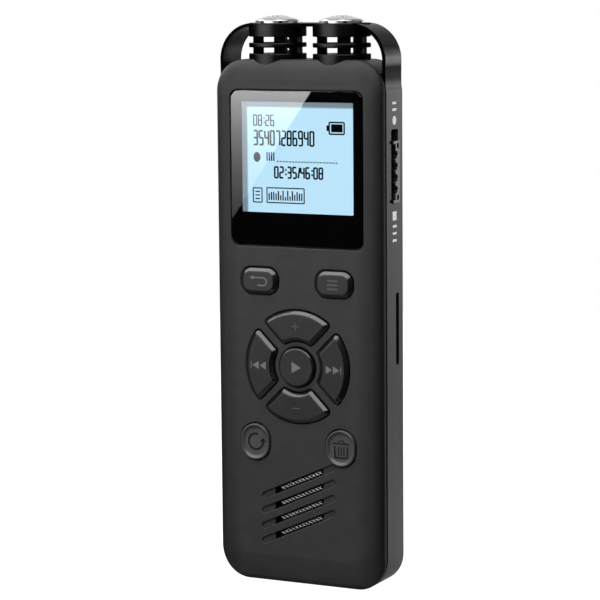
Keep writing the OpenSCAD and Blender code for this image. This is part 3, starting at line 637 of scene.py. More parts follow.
node_materials = {"shell_plastic": shell_with_painted_shade, "band_metal": band_with_painted_light, "key_plastic": key_face,
                  "black_plastic": black, "window_gloss": mask, "lcd_face": screen, "steel": steel,
                  "chrome": chrome}
inner_looks = {
    "light_guide": ((0.85, 0.9, 0.95), 0.15, {"grain": 0.5}),
    "pale_plastic": ((0.75, 0.75, 0.72), 0.5, {"relief": 0.003}),
    "flex_film": ((0.5, 0.25, 0.05), 0.3, {"grain": 0.5, "stretch": (4, 1, 0.2), "uneven": 0.2}),
    "board_green": ((0.02, 0.16, 0.06), 0.3, {"grain": 0.4, "relief": 0.01, "uneven": 0.2}),
    "chip_black": (grey(38), 0.6, {"grain": 0.1, "relief": 0.004}),
    "capsule_metal": (grey(200), 0.3, {"grain": 0.2, "metallic": 1.0}),
    "rubber": (grey(34), 0.75, {"grain": 0.15, "relief": 0.006}),
    "speaker_plastic": (grey(40), 0.6, {"grain": 0.2, "relief": 0.006}),
    "cell_foil": ((0.3, 0.33, 0.36), 0.35, {"grain": 1.2, "relief": 0.03, "uneven": 0.1, "metallic": 0.8}),
    "lead_cover": ((0.3, 0.05, 0.04), 0.45, {"grain": 0.2, "relief": 0.003}),
}
for slot, (colour, roughness, more) in inner_looks.items():
    node_materials[slot] = surface(slot, colour, roughness, **more)
own_materials = {"top_cap": top_plastic, "mic_leads": black}
for node, solid in nodes.items():
    solid.data.materials.clear()
    solid.data.materials.append(own_materials.get(node, node_materials[slot_of[node]]))


# Covers

def roll_share(depth, power):
    """Share of a rolled edge's width that is cut away at a share of its depth."""
    return 1 - (1 - (1 - depth) ** power) ** (1 / power)


def cover_loop(depth, inset, y):
    """Outline of a cover at a share of its roll's depth."""
    share = roll_share(depth, ROUND_POWER)
    side = HALF_W - inset - ROLL_SIDE * share
    low = ROLL_BOTTOM * roll_share(depth, CHIN_POWER)
    high = COVER_H - inset - ROLL_TOP * roll_share(depth, TOP_POWER)
    return ring(round_outline(-side, side, low, high, CORNER - inset - ROLL_CORNER * share, 16), y)


def cover(name, inset, facing, post_end, boss_end):
    """Hollow cover with a rolled edge, a lip, a groove towards the band, screw bosses and posts."""
    depths = [1 - sin(pi / 2 * (1 - i / ROLL_STEPS)) for i in range(ROLL_STEPS + 1)]
    lip_y = FRONT + ROLL_DEPTH + LIP
    loops = [cover_loop(depth, inset, FRONT + ROLL_DEPTH * depth) for depth in depths]
    loops.append(cover_loop(1, inset, lip_y))
    neck = inset + GROOVE
    side = HALF_W - neck
    neck_outline = round_outline(-side, side, GROOVE, COVER_H - neck, CORNER - neck, 16)
    loops += [ring(neck_outline, y) for y in (lip_y, BAND_Y[0] if facing > 0 else -BAND_Y[1])]
    piece = build(name, flip(loft(loops), facing))
    hollow = round_outline(-HOLLOW_X, HOLLOW_X, BOTTOM_WALL, COVER_H - TOP_WALL, CORNER - COVER_WALL)
    cut(piece, flip(prism(hollow, COVER_IN, PAST), facing))
    cut(piece, *(rod_z(x, 0, MIC_R + SLACK, SEAT_Z, COVER_H + PAST, 64) for x in MIC_XS.values()))
    root = COVER_IN - 2 * OVERLAP
    rods = [rod(*at, BOSS_R, root, boss_end) for at in BOSS_PLACES]
    rods += [rod(*at, POST_R, root, post_end) for at in POST_PLACES]
    add(piece, *(flip(mesh, facing) for mesh in rods))
    return piece


def hole(outline, bottom, rim=RIM):
    """Cutter with a rounded rim at the front."""
    turns = [pi / 2 * i / 5 for i in range(6)]
    steps = [(-rim, FRONT - PAST)]
    steps += [(rim * (sin(a) - 1), FRONT + rim * (1 - cos(a))) for a in turns]
    return loft(rings(outline, steps + [(0, bottom)]))


lobes = {"volume_up_key": 0, "forward_key": 90, "volume_down_key": 180, "rewind_key": 270}
key_centres = {
    "return_key": (-PAIR_X, PAIR_Z), "menu_key": (PAIR_X, PAIR_Z),
    "repeat_key": (-OVAL_X, OVAL_Z), "delete_key": (OVAL_X, OVAL_Z), "play_key": (0, PAD_Z),
    **{key: turn([(0, LOBE_CENTRE_R)], radians(angle))[0] for key, angle in lobes.items()},
}
key_outlines = {
    **{key: box_outline(*key_centres[key], PAIR_HALF, PAIR_R) for key in PAIR_KEYS},
    **{key: box_outline(*key_centres[key], OVAL_HALF, OVAL_R) for key in OVAL_KEYS},
    "play_key": lambda inset: circle(0, PAD_Z, PLAY_R - inset),
    **{key: lobe_outline(angle) for key, angle in lobes.items()},
}
slot_zs = [SPEAKER_Z + (i - (SLOT_COUNT - 1) / 2) * SLOT_PITCH for i in range(SLOT_COUNT)]
slot_openings = [slot_opening(z, -SLOT_OPEN_X, SLOT_OPEN_X, SLOT_OPEN_W) for z in slot_zs]

front = cover("front_shell", 0, 1, board_low.y, 0)
window_hole = box_outline(0, WINDOW_Z, [half + WINDOW_GAP for half in WINDOW_HALF], WINDOW_R)
cut(front, hole(window_hole, window_high.y + SLACK, FINE_RIM),
    *(hole(outline, COVER_IN + PAST) for outline in key_outlines.values()))
lcd_hole = round_outline(lcd_low.x + LCD_LIP, lcd_high.x - LCD_LIP, lcd_low.z + LCD_LIP, lcd_high.z - LCD_LIP,
                         LCD_HOLE_R)
cut(front, prism(lcd_hole, FRONT, COVER_IN + SLACK),
    *(hole(slot_outline(z), FRONT + SLOT_POCKET, FINE_RIM) for z in slot_zs))
cut(front, *(prism(opening, FRONT, COVER_IN + PAST) for opening in slot_openings),
    *(rod(*at, PILOT_R, PILOT_END, PAST) for at in BOSS_PLACES))
dress(front, shell_with_painted_shade, ["front_cover"])

rear = cover("rear_shell", REAR_INSET, -1, -board_high.y, -SLACK)
cut(rear, *(rod(*at, SHANK_R, -PAST, HEAD_SEAT + OVERLAP) for at in BOSS_PLACES))
cut(rear, *(rod(*at, HEAD_POCKET_R, HEAD_SEAT, BACK + PAST) for at in BOSS_PLACES))
dress(rear, shell_with_painted_shade, ["rear_cover"])


# Side band and arch

FRONT_ROUND = 0.1
BACK_ROUND = 0.06


def frame_section(x, z, out_x, out_z, wall, front, back):
    """Section of the band at a point of its outer line, with softened edges."""
    section = [(o - FRONT_ROUND, y + front + FRONT_ROUND) for y, o in arc(0, 0, FRONT_ROUND, 180, 90, 3)]
    section += [(o - BACK_ROUND, y + back - BACK_ROUND) for y, o in arc(0, 0, BACK_ROUND, 90, 0, 2)]
    section += [(-wall, back), (-wall, front)]
    return [(x + o * out_x, y, z + o * out_z) for o, y in section]


def strap_point(z):
    """Point of the strap's upright stretch: it flares out to the band at its foot and has a slight waist."""
    foot = SHOULDER_Z[0]
    share = min((z - foot) / (SHOULDER_Z[1] - foot), 1)
    flare = (1 - share) ** 2
    waist = STRAP_WAIST * sin(pi * (z - foot) / (ARCH_FOOT - foot))
    return (STRAP_HALF_W + (HALF_W - STRAP_HALF_W) * flare - waist, z, 1, 0,
            STRAP_T + (BAND_WALL - STRAP_T) * flare,
            *(strap + (broad - strap) * flare for strap, broad in zip(STRAP_Y, BAND_Y)))


def frame_line():
    """Right half of the band's outer line from the base up: place, direction outwards, wall and depths."""
    line = [(0, 0, 0, -1, BAND_WALL, *BAND_Y)]
    for x, z in arc(0, 0, 1, -90, 0, 16):
        line.append((HALF_W - CORNER + CORNER * x, CORNER + CORNER * z, x, z, BAND_WALL, *BAND_Y))
    line += [strap_point(SHOULDER_Z[0] + (ARCH_FOOT - SHOULDER_Z[0]) * i / 20) for i in range(20)]
    for x, z in arc(0, 0, 1, 0, 90, 24):
        line.append((STRAP_HALF_W - ARCH_R + ARCH_R * x, ARCH_FOOT + ARCH_R * z, x, z, STRAP_T, *STRAP_Y))
    line.append((0, ARCH_Z, 0, 1, STRAP_T, *STRAP_Y))
    return line


right_line = frame_line()
left_line = [(-x, z, -out_x, *rest) for x, z, out_x, *rest in right_line[-2:0:-1]]
band = build("side_band", loft([frame_section(*point) for point in right_line + left_line], True))
for mic_x in MIC_XS.values():
    add(band, rod_z(mic_x, 0, EYE_OUT_R, EYE_Z, EYE_Z + EYE_T))
    cut(band, rod_z(mic_x, 0, EYE_R, EYE_Z - PAST, ARCH_Z + PAST))
    cut(band, rod_z(mic_x, 0, MIC_R + SLACK, EYE_Z + EYE_T, ARCH_Z + PAST))
    cut(band, rod_z(mic_x, 0, MIC_R + SLACK, EYE_Z - 2 * PAST, EYE_Z))

SWITCH_Y = (knob_low.y + knob_high.y) / 2
KNOB_HALF_D = 1.25
KNOB_FLANGE = 0.8
KNOB_Z = (knob_low.z + KNOB_FLANGE, knob_high.z - KNOB_FLANGE)
KNOB_PLAY = 0.15
KNOB_TRAVEL = 1.8
KNOB_SLOT_Z = (KNOB_Z[0] - KNOB_PLAY, KNOB_Z[1] + KNOB_TRAVEL + KNOB_PLAY)

# Openings in the band's sides: middle in Y and Z, half sizes, corner radius, and 1 for right or -1 for left
JACK_R = 2.35
side_openings = {
    "record_knob": (SWITCH_Y, sum(KNOB_SLOT_Z) / 2, KNOB_HALF_D + KNOB_PLAY,
                    (KNOB_SLOT_Z[1] - KNOB_SLOT_Z[0]) / 2, 0.5, 1),
    "card": (1.17, 44.4, 0.62, 6.15, 0.4, 1),
    "charging": (0.5, 44.8, 1.55, 3.95, 1.45, -1),
    "earphone": (0.9, 70.0, JACK_R, JACK_R, JACK_R - 0.001, -1),
}


def side_hole(y, z, half_d, half_z, r, side):
    """Cutter through one side of the band."""
    outline = round_outline(y - half_d, y + half_d, z - half_z, z + half_z, r, 8)
    return prism(outline, side * (HALF_W - BAND_WALL - PAST), side * (HALF_W + PAST), 0)


def on_strap(face):
    """Whether a face lies on the strap, above the shoulders."""
    return face.center.z > SHOULDER_Z[1] * MM


cut(band, *(side_hole(*opening) for opening in side_openings.values()))
# The strap's inner faces take the darker copy of the band metal, a painted shade; its front rim takes the
# window mask's black.
dress(band, band_with_painted_light, ["side_frame"],
      accents=((strap_inner_shade, lambda face: on_strap(face) and face.normal.x * face.center.x < 0),
               (mask, lambda face: on_strap(face) and face.normal.y < -0.7)))


# Keys

def bevel_steps(inset, top, bevel, soft):
    """Inset and depth from a key's face over its bevel to its side, with softened edges."""
    slant = soft / sqrt(2)
    return (curve((inset + bevel + soft, top), (inset + bevel, top), (inset + bevel - slant, top + slant))
            + curve((inset + slant, top + bevel - slant), (inset, top + bevel), (inset, top + bevel + soft)))


def is_bevel(face):
    """Whether a face lies on a key's bevels or sides, apart from the lower ones, which keep the key's lighter
    colour.
    """
    return face.normal.y > -0.96 and face.normal.z > -0.35


cap_steps, play_steps = (bevel_steps(KEY_GAP, KEY_TOP, bevel, KEY_SOFT) + [(KEY_GAP, FLANGE_Y[1])]
                         for bevel in (KEY_BEVEL, PLAY_BEVEL))
dish_edge = KEY_GAP + OVAL_RIM
dish_foot = dish_edge + DISH_SLOPE
DISH_Y = OVAL_TOP + DISH_D
oval_steps = curve((dish_foot + 0.2, DISH_Y), (dish_foot, DISH_Y), (dish_foot - 0.15, DISH_Y - 0.09))
oval_steps += curve((dish_edge + 0.1, OVAL_TOP + 0.06), (dish_edge, OVAL_TOP),
                    (dish_edge - 0.1, OVAL_TOP + 0.05))
oval_steps += [(KEY_GAP, OVAL_TOP + OVAL_RIM), (KEY_GAP, FLANGE_Y[1])]
for key, outline in key_outlines.items():
    is_oval = key in OVAL_KEYS
    steps = oval_steps if is_oval else play_steps if key == "play_key" else cap_steps
    skirt = lobe_outline(lobes[key], KEY_GAP) if key in lobes else outline
    piece = build(key + "_cap", loft(rings(outline, steps)))
    add(piece, prism(skirt(KEY_GAP - FLANGE), *FLANGE_Y))
    add(piece, rod(*key_centres[key], STEM_R, FLANGE_Y[1] - OVERLAP, limits(key)[1].y))
    # Bevels and sides of the keys take the dark edge colour, partly a glossy finish and partly painted shade
    # on the sides turned from the light.
    dress(piece, oval_face if is_oval else key_face, [key], key, sharp=28,
          accents=() if is_oval else ((dark_edge_and_shade, is_bevel),))


# Signs on the keys

def print_on(name, outlines, y, thickness, material, body="housing"):
    """Flat signs that stand out of a face by their thickness."""
    piece = build(name, *(prism(outline, y - thickness, y + thickness) for outline in outlines))
    dress(piece, material, body=body)


def place_sign(outlines, size, x, z):
    """Outlines made larger by a share and moved to a place."""
    return [[(px * size + x, pz * size + z) for px, pz in outline] for outline in outlines]


def triangle(x, half, tip):
    """Triangle with an upright side at x and a tip to one side."""
    return [(x, -half), (x + tip, 0), (x, half)]


arrow_line = [(-0.9, 0.62), *arc(0.95, -0.04, 0.66, 90, -90, 10), (-0.1, -0.7)]
return_sign = [stroke(arrow_line, 0.2), [(-1.55, 0.62), (-0.85, 0.28), (-0.85, 0.96)]]
menu_sign = [bar(-0.95, row, 0.95, row, 0.28) for row in (-0.7, 0, 0.7)]
plus_sign = [bar(-0.7, 0, 0.7, 0, 0.16), bar(0, 0.08, 0, 0.7, 0.16), bar(0, -0.08, 0, -0.7, 0.16)]
minus_sign = [bar(-0.7, 0, 0.7, 0, 0.18)]
rewind_sign = [triangle(0.0, 0.7, -1.15), triangle(1.35, 0.7, -1.15), bar(-1.45, -0.6, -1.45, 0.6, 0.14)]
forward_sign = [[(-x, z) for x, z in outline] for outline in rewind_sign]
play_sign = [triangle(-0.75, 0.98, 1.7)]
loop_sign = [stroke(arc(0, 0, 1.05, 70, 360, 28), 0.26), [(0.6, -0.05), (1.5, -0.05), (1.05, 0.62)]]
bin_sign = [bar(-1.25, 0.62, 1.25, 0.62, 0.2),
            stroke([(-0.5, 0.72), (-0.35, 1.0), (0.35, 1.0), (0.5, 0.72)], 0.16),
            stroke([(-0.98, 0.3), (-0.9, -1.3), (0.9, -1.3), (0.98, 0.3)], 0.24)]
bin_sign += [bar(x, 0.2, x, -1.05, 0.17) for x in (-0.42, 0, 0.42)]
key_signs = {
    "return_key": (return_sign, 1, pale_print), "menu_key": (menu_sign, 1, faint_print),
    "volume_up_key": (plus_sign, 1, faint_print), "volume_down_key": (minus_sign, 1, faint_print),
    "rewind_key": (rewind_sign, 1, pale_print), "forward_key": (forward_sign, 1, pale_print),
    "play_key": (play_sign, 1, pale_print),
    "repeat_key": (loop_sign, 1.3, dark_print), "delete_key": (bin_sign, 1.25, dark_print),
}
for key, (sign, size, paint) in key_signs.items():
    face_y = DISH_Y if key in OVAL_KEYS else KEY_TOP
    outlines = place_sign(sign, size, *key_centres[key])
    print_on(key + "_sign", outlines, face_y, SIGN_T, paint, key)


# Display window, its mask and the lit image

window_outline = box_outline(0, WINDOW_Z, WINDOW_HALF, WINDOW_R)
window_steps = curve((SLACK, FRONT), (0, FRONT), (0, FRONT + SLACK)) + [(0, window_high.y)]
pane_piece = build("window_pane", loft(rings(window_outline, window_steps)))
dress(pane_piece, pane, ["display_window"], sharp=15)
clear = round_outline(-CLEAR_HALF_W, CLEAR_HALF_W, *CLEAR_Z, CLEAR_R, 4)
mask_piece = build("window_mask", prism(window_outline(MASK_INSET), MASK_Y - MASK_T, MASK_Y))
cut(mask_piece, prism(clear, MASK_Y - PAST, MASK_Y + PAST))
dress(mask_piece, mask)

SEGMENTS = {"a": ((0, 1), (1, 1)), "b": ((1, 1), (1, 0.5)), "c": ((1, 0.5), (1, 0)), "d": ((0, 0), (1, 0)),
            "e": ((0, 0), (0, 0.5)), "f": ((0, 0.5), (0, 1)), "g": ((0, 0.5), (1, 0.5))}
DIGITS = {"0": "abcdef", "1": "bc", "2": "abged", "3": "abgcd", "4": "fgbc", "5": "afgcd", "6": "afgedc",
          "7": "abc", "8": "abcdefg", "9": "gfabcd"}
DIGIT_FILL = 0.62
COLON_DOTS = (0.25, 0.65)


def number(text, x, z, width, height, line):
    """Digits, colons and slashes in a row, from their lower left corner; width is for one digit."""
    outlines = []
    for sign in text:
        step = width if sign.isdigit() else width * 0.5
        reach = DIGIT_FILL * step
        if sign.isdigit():
            for part in DIGITS[sign]:
                ends = [(x + reach * px, z + height * pz) for px, pz in SEGMENTS[part]]
                outlines.append(stroke(ends, line))
        elif sign == ":":
            middle = x + reach / 2
            dots = [z + height * share for share in COLON_DOTS]
            outlines += [bar(middle, low, middle, low + line, line) for low in dots]
        else:
            outlines.append(bar(x, z, x + reach, z + height, line))
        x += step
    return outlines


def frame_lines(x0, x1, z0, z1, line):
    """Four lines round a rectangle."""
    return [bar(x0, z, x1, z, line) for z in (z0, z1)] + [bar(x, z0, x, z1, line) for x in (x0, x1)]


# Image from the top down: clock, digits, battery, level bars, dotted line, times, page sign and level meter
image = number("08:26", -8.4, 78.6, 0.92, 1.75, 0.22)
image += number("35407286940", -8.4, 75.35, 1.06, 2.35, 0.3)
image += frame_lines(5.75, 8.5, 77.4, 79.35, 0.26)
image += [round_outline(6.1, 8.2, 77.72, 79.05, 0.05, 1), round_outline(5.25, 5.7, 77.9, 78.85, 0.05, 1)]
image += [bar(x, 72.65, x, 74.1, 0.24) for x in (-5.9, -5.48, -5.06, -4.64)]
image += [bar(-4.1 + 0.58 * i, 72.58, -3.8 + 0.58 * i, 72.58, 0.22) for i in range(20)]
image += number("02:35/46:08", -4.5, 69.85, 0.98, 1.8, 0.3)
image += frame_lines(-8.6, -6.95, 65.6, 68.0, 0.2)
image += [bar(-8.2, z, -7.35, z, 0.2) for z in (66.2, 66.8, 67.4)]
image += frame_lines(-6.0, 1.0, 65.6, 68.1, 0.2)
meter_tops = [66.5 + 1.2 * abs(sin(1.7 * i + 0.6)) for i in range(15)]
image += [bar(-5.6 + 0.44 * i, 66.0, -5.6 + 0.44 * i, top, 0.24) for i, top in enumerate(meter_tops)]
record_dot = [[(-7.83 + 0.66 * x, 73.25 + 0.83 * z) for x, z in circle(0, 0, 1, 32)]]
print_on("lcd_record_dot", record_dot, lcd_low.y, IMAGE_T, grey_ink)
print_on("lcd_image", image, lcd_low.y, IMAGE_T, ink)


# Speaker mesh

MESH_R = (mesh_high.x - mesh_low.x) / 2
MESH_RIM = 0.4
WIRE_PITCH = 0.44
WIRE_R = 0.095
WIRE_LIFT = 0.06
mesh_y = (mesh_low.y + mesh_high.y) / 2


def wire(points, r, sides=6):
    """Round wire through points; it never runs straight along the depth."""
    path = [Vector(point) for point in points]
    turns = [2 * pi * k / sides for k in range(sides)]
    loops = []
    for i, point in enumerate(path):
        along = (path[min(i + 1, len(path) - 1)] - path[max(i - 1, 0)]).normalized()
        across = along.cross(Vector((0, 1, 0))).normalized()
        outward = across.cross(along)
        loops.append([tuple(point + across * r * cos(a) + outward * r * sin(a)) for a in turns])
    return loft(loops)


def weave(family, slope):
    """Wires of one of two families, which pass over and under those of the other."""
    along = Vector((cos(slope), sin(slope)))
    across = Vector((-along.y, along.x))
    reach = MESH_R - MESH_RIM / 2
    count = int(reach / WIRE_PITCH)
    wires = []
    for k in range(-count, count + 1):
        half = int(sqrt(reach ** 2 - (k * WIRE_PITCH) ** 2) / WIRE_PITCH * 2)
        points = []
        for i in range(-half, half + 1):
            flat = across * (k * WIRE_PITCH) + along * (i * WIRE_PITCH / 2)
            lift = WIRE_LIFT * cos(pi * (i / 2 + k + family))
            points.append((flat.x, mesh_y + lift, SPEAKER_Z + flat.y))
        if len(points) > 2:
            wires.append(wire(points, WIRE_R))
    return wires


rim = border(circle(0, SPEAKER_Z, MESH_R), circle(0, SPEAKER_Z, MESH_R - MESH_RIM), mesh_low.y, mesh_high.y)
mesh_wires = weave(0, SLOT_ANGLE + pi / 4) + weave(1, SLOT_ANGLE - pi / 4)
dress(build("speaker_weave", rim, *mesh_wires), weave_steel_painted_shade, ["speaker_mesh"], sharp=60)

# Black liners in the open parts of the slots, which put painted shade there, and the ridges of strands that
# the mesh shows there
LINER_Y = FRONT + 0.75
LINER_X = (-3.1, 4.4)
LINER_W = 0.7
RIDGE_R = 0.3
RIDGE_Y = FRONT + 0.66
RIDGE_STEP = 0.7
RIDGE_LEAD = 1.7
RIDGE_TURN = 65
STRANDS = ((-1, 0.11), (1, 0.05))


def strand(z, start, hand, r):
    """Strand that crosses a slot's ridge slantwise, from its place along the slot."""
    points = []
    for i in range(-3, 4):
        angle = radians(RIDGE_TURN) * i / 3
        x, up = on_slot(z, start + hand * RIDGE_LEAD * angle / (2 * pi), RIDGE_R * sin(angle))
        points.append((x, RIDGE_Y - RIDGE_R * cos(angle), up))
    return wire(points, r)


liners = [border(opening, slot_opening(z, *LINER_X, LINER_W), LINER_Y, COVER_IN)
          for opening, z in zip(slot_openings, slot_zs)]
# The liners take the window mask's black: painted shade inside the slots.
dress(build("speaker_liners", *liners), mask)
ridge_start, ridge_end = (x / cos(SLOT_ANGLE) for x in LINER_X)
starts = [ridge_start + RIDGE_STEP * i for i in range(int((ridge_end - ridge_start) / RIDGE_STEP) + 1)]
strands = [strand(z, start, hand, r) for z in slot_zs for start in starts for hand, r in STRANDS]
dress(build("speaker_ridges", *strands), mesh_steel_painted_light, sharp=60)


# Microphone cages and caps

SOFT = 0.12
CAGE_RINGS = ((2.0, 88.5, 90.6), (3.55, 91.65, 92.4))
COLLAR_R = 2.5
COLLAR_Z = (93.45, 94.0)
SPIGOT_R = (2.0, 2.6)
SPIGOT_Z = (86.2, 88.7)
PILLARS = ((13, 12), (73, 11), (110, 16), (178, 20), (222, 11), (304, 9.6))
PILLAR_R = (4.2, 3.6)
PILLAR_Z = (CAGE_RINGS[0][2] - 0.2, COLLAR_Z[0] + 0.15)
SCREEN_SPAN = (20, 115)
SCREEN_R = (3.8, 3.55)
SCREEN_Z = (CAGE_RINGS[0][2] - OVERLAP, COLLAR_Z[0] + OVERLAP)
VENT_R = 0.2
VENT_ANGLES = range(32, 104, 7)
VENT_ZS = (91.15, 93.0)
NOTCH_Z = EYE_Z + EYE_T + SLACK
CAP_WALL = 0.3
CAP_R = (cap_high.x - cap_low.x) / 2
CAP_EDGE = 0.14
CAP_RIM_Z = ARCH_Z + 0.48
DOME_INSIDE = 0.88
DOME_RISE = cap_high.z - CAP_RIM_Z - CAP_EDGE
DOME_BASE_R = CAP_R - 0.3
DOME_R = (DOME_BASE_R ** 2 + DOME_RISE ** 2) / (2 * DOME_RISE)
CLAW_ANGLES = (253, 303, 354, 45, 96, 148, 200)
CLAW_HALF = (6, 3)
CLAW_Z = (ARCH_Z - 0.05, CAP_RIM_Z - 0.12)
CLAW_R = (CAP_R + 0.09, CAP_R - 0.05)
HOLE_PITCH, HOLE_ROWS, HOLE_R = 0.85, 2, 0.25


def low_edge(z):
    """Rounded lower edge at the outside of a cage."""
    return arc(MIC_R - SOFT, z + SOFT, SOFT, -90, 0, 4)


def high_edge(z):
    """Rounded upper edge at the outside of a cage."""
    return arc(MIC_R - SOFT, z - SOFT, SOFT, 0, 90, 4)


def sector(x, radii, start, end, steps):
    """Part of a ring in X and Y between two angles; its outer radius comes first."""
    return arc(x, 0, radii[0], start, end, steps) + arc(x, 0, radii[1], end, start, steps)


def mic_cage(name, x):
    """Round cage: two rings and a collar with a spigot below, joined by pillars."""
    cage = build(name, *(lathe([(r, z0), *low_edge(z0), *high_edge(z1), (r, z1)], x)
                         for r, z0, z1 in CAGE_RINGS))
    add(cage, lathe([(COLLAR_R, COLLAR_Z[0]), *low_edge(COLLAR_Z[0]), (MIC_R, EYE_Z), (EYE_R, EYE_Z),
                     (EYE_R, COLLAR_Z[1]), (COLLAR_R, COLLAR_Z[1])], x))
    add(cage, lathe(corners(*SPIGOT_R, *SPIGOT_Z), x))
    for middle, half in PILLARS:
        add(cage, prism(sector(x, PILLAR_R, middle - half, middle + half, 6), *PILLAR_Z, 2))
    return cage


def spoke(x, angle, z, r):
    """Rod that points outwards from a cage's axis."""
    out = Vector((cos(radians(angle)), sin(radians(angle)), 0))
    aside = Vector((-out.y, out.x, 0))
    rise = Vector((0, 0, r))
    turns = [2 * pi * k / 10 for k in range(10)]
    ends = [Vector((x, 0, z)) + out * reach for reach in (SCREEN_R[1] - PAST, SCREEN_R[0] + PAST / 4)]
    return loft([[tuple(end + aside * r * cos(a) + rise * sin(a)) for a in turns] for end in ends])


def cage_screen(x):
    """Thin wall between the pillars of a cage, open by its fine holes only."""
    wall = build("cage_screen", prism(sector(x, SCREEN_R, *SCREEN_SPAN, 24), *SCREEN_Z, 2))
    cut(wall, *(spoke(x, angle, z, VENT_R) for angle in VENT_ANGLES for z in VENT_ZS))
    return wall


def trim_ring(name, x):
    """Ring round the top of a cage, with notches for the strap and its eye."""
    profile = [(EYE_R, EYE_Z), (MIC_R, EYE_Z), *high_edge(ARCH_Z), (EYE_R, ARCH_Z)]
    piece = build(name, lathe(profile, x, 96))
    cut(piece, rod_z(x, 0, EYE_OUT_R + SLACK, EYE_Z - PAST, NOTCH_Z))
    cut(piece, block((x - MIC_R - PAST, STRAP_Y[0] - SLACK, EYE_Z - PAST),
                     (x + MIC_R + PAST, STRAP_Y[1] + SLACK, NOTCH_Z)))
    return piece


def cap_profile():
    """Radius and height round a hollow cap: upright rim, rolled step and dome, then back along the inside."""
    edge_z = CAP_RIM_Z - CAP_EDGE
    rim = [(CAP_R, cap_low.z)] + curve((CAP_R, edge_z), (CAP_R, CAP_RIM_Z), (CAP_R - CAP_EDGE, CAP_RIM_Z), 4)
    rim += curve((DOME_BASE_R + CAP_EDGE / 2, CAP_RIM_Z), (DOME_BASE_R, CAP_RIM_Z),
                 (DOME_BASE_R, CAP_RIM_Z + CAP_EDGE))
    radii = [DOME_BASE_R * i / 14 for i in range(13, 0, -1)]
    dome = [(r, cap_high.z - DOME_R + sqrt(DOME_R ** 2 - r * r)) for r in radii]
    inner = [(r * DOME_INSIDE, z - CAP_WALL) for r, z in dome[::-1]]
    return rim + dome + inner + [(CAP_R - CAP_WALL, CAP_RIM_Z - CAP_WALL), (CAP_R - CAP_WALL, cap_low.z)]


def cap_holes(x):
    """Cutters for a cap's fine holes, in rows that grow shorter away from the middle."""
    cutters = []
    for row in range(-HOLE_ROWS, HOLE_ROWS + 1):
        last = 2 * HOLE_ROWS - abs(row)
        y = row * HOLE_PITCH * sin(pi / 3)
        for column in range(last + 1):
            hole_x = x + column * HOLE_PITCH - last / 2 * HOLE_PITCH
            cutters.append(rod_z(hole_x, y, HOLE_R, ARCH_Z, cap_high.z + PAST, 20))
    return cutters


def claw(x, angle):
    """Small clip that widens towards the ring and holds the cap's rim."""
    return loft([[(px, py, z) for px, py in sector(x, CLAW_R, angle - half, angle + half, 4)]
                 for half, z in zip(CLAW_HALF, CLAW_Z)])


for side, x in MIC_XS.items():
    dress(mic_cage(side + "_cage", x), cage_black, [side + "_mic_cage"])
    if side == "left":
        dress(cage_screen(x), cage_black)
    dress(trim_ring(side + "_trim_ring", x), cage_black, [side + "_mic_ring"])
    cap = build(side + "_cap", lathe(cap_profile(), x, 96))
    cut(cap, *cap_holes(x))
    dress(cap, chrome, [side + "_mic_cap"], sharp=40)
    dress(build(side + "_cap_claws", *(claw(x, angle) for angle in CLAW_ANGLES)), black)


# Record knob and the marks beside it

knob_x = knob_high.x
KNOB_FRONT = SWITCH_Y - KNOB_HALF_D
KNOB_ROOT_X = 14.1
GRIP_COUNT, GRIP_PITCH, GRIP_HALF_Z, GRIP_REACH, GRIP_D, GRIP_R = 4, 1.95, 0.6, 1.65, 0.9, 0.55
KNOB_END, KNOB_RECESS, KNOB_SOFT, KNOB_FACE_D = 0.5, 0.8, 0.06, 0.1
POCKET_Z, POCKET_Y, POCKET_HALF_Z, POCKET_D, POCKET_R = 0.85, (0.1, 0.85), 0.45, 0.35, 0.2
MARK_X = (HALF_W - 0.02, HALF_W + 0.02)
MARK_Y = (-0.7, 0.9)


def knob_cut(y0, y1, z, half_z, r, depth, steps):
    """Cutter with round corners, sunk into the knob's face."""
    outline = round_outline(y0, y1, z - half_z, z + half_z, r, steps)
    return prism(outline, knob_x - depth, knob_x + PAST, 0)


knob = build("record_slide_knob", block((KNOB_ROOT_X, KNOB_FRONT, KNOB_Z[0]),
                                        (knob_x, SWITCH_Y + KNOB_HALF_D, KNOB_Z[1])))
grip_zs = [sum(KNOB_Z) / 2 + (i - (GRIP_COUNT - 1) / 2) * GRIP_PITCH for i in range(GRIP_COUNT)]
cut(knob, *(knob_cut(KNOB_FRONT - PAST, KNOB_FRONT + GRIP_REACH, z, GRIP_HALF_Z, GRIP_R, GRIP_D, 8)
            for z in grip_zs))
cut(knob, *(knob_cut(SWITCH_Y + POCKET_Y[0], SWITCH_Y + POCKET_Y[1], z, POCKET_HALF_Z, POCKET_R, POCKET_D, 4)
            for z in (KNOB_Z[0] + POCKET_Z, KNOB_Z[1] - POCKET_Z)))
cut(knob, block((knob_x - GRIP_D, KNOB_FRONT - PAST, KNOB_Z[0] + KNOB_END),
                (knob_x + PAST, KNOB_FRONT + KNOB_RECESS, KNOB_Z[1] - KNOB_END)))
bevel = knob.modifiers.new("bevel", "BEVEL")
bevel.width = KNOB_SOFT
bevel.segments = 2
bevel.limit_method = "ANGLE"
bake_modifiers(knob)
add(knob, block(knob_low, (KNOB_ROOT_X + OVERLAP, knob_high.y, knob_high.z)))
# The knob's outer faces take the painted highlight grey; its grips, recess and sides take the dark edge
# colour, partly the knob's own dark plastic and partly painted shade.
dress(knob, knob_face_highlight, ["record_knob"], "record_slide", sharp=40,
      accents=((dark_edge_and_shade, lambda face: face.center.x < (knob_x - KNOB_FACE_D) * MM),))

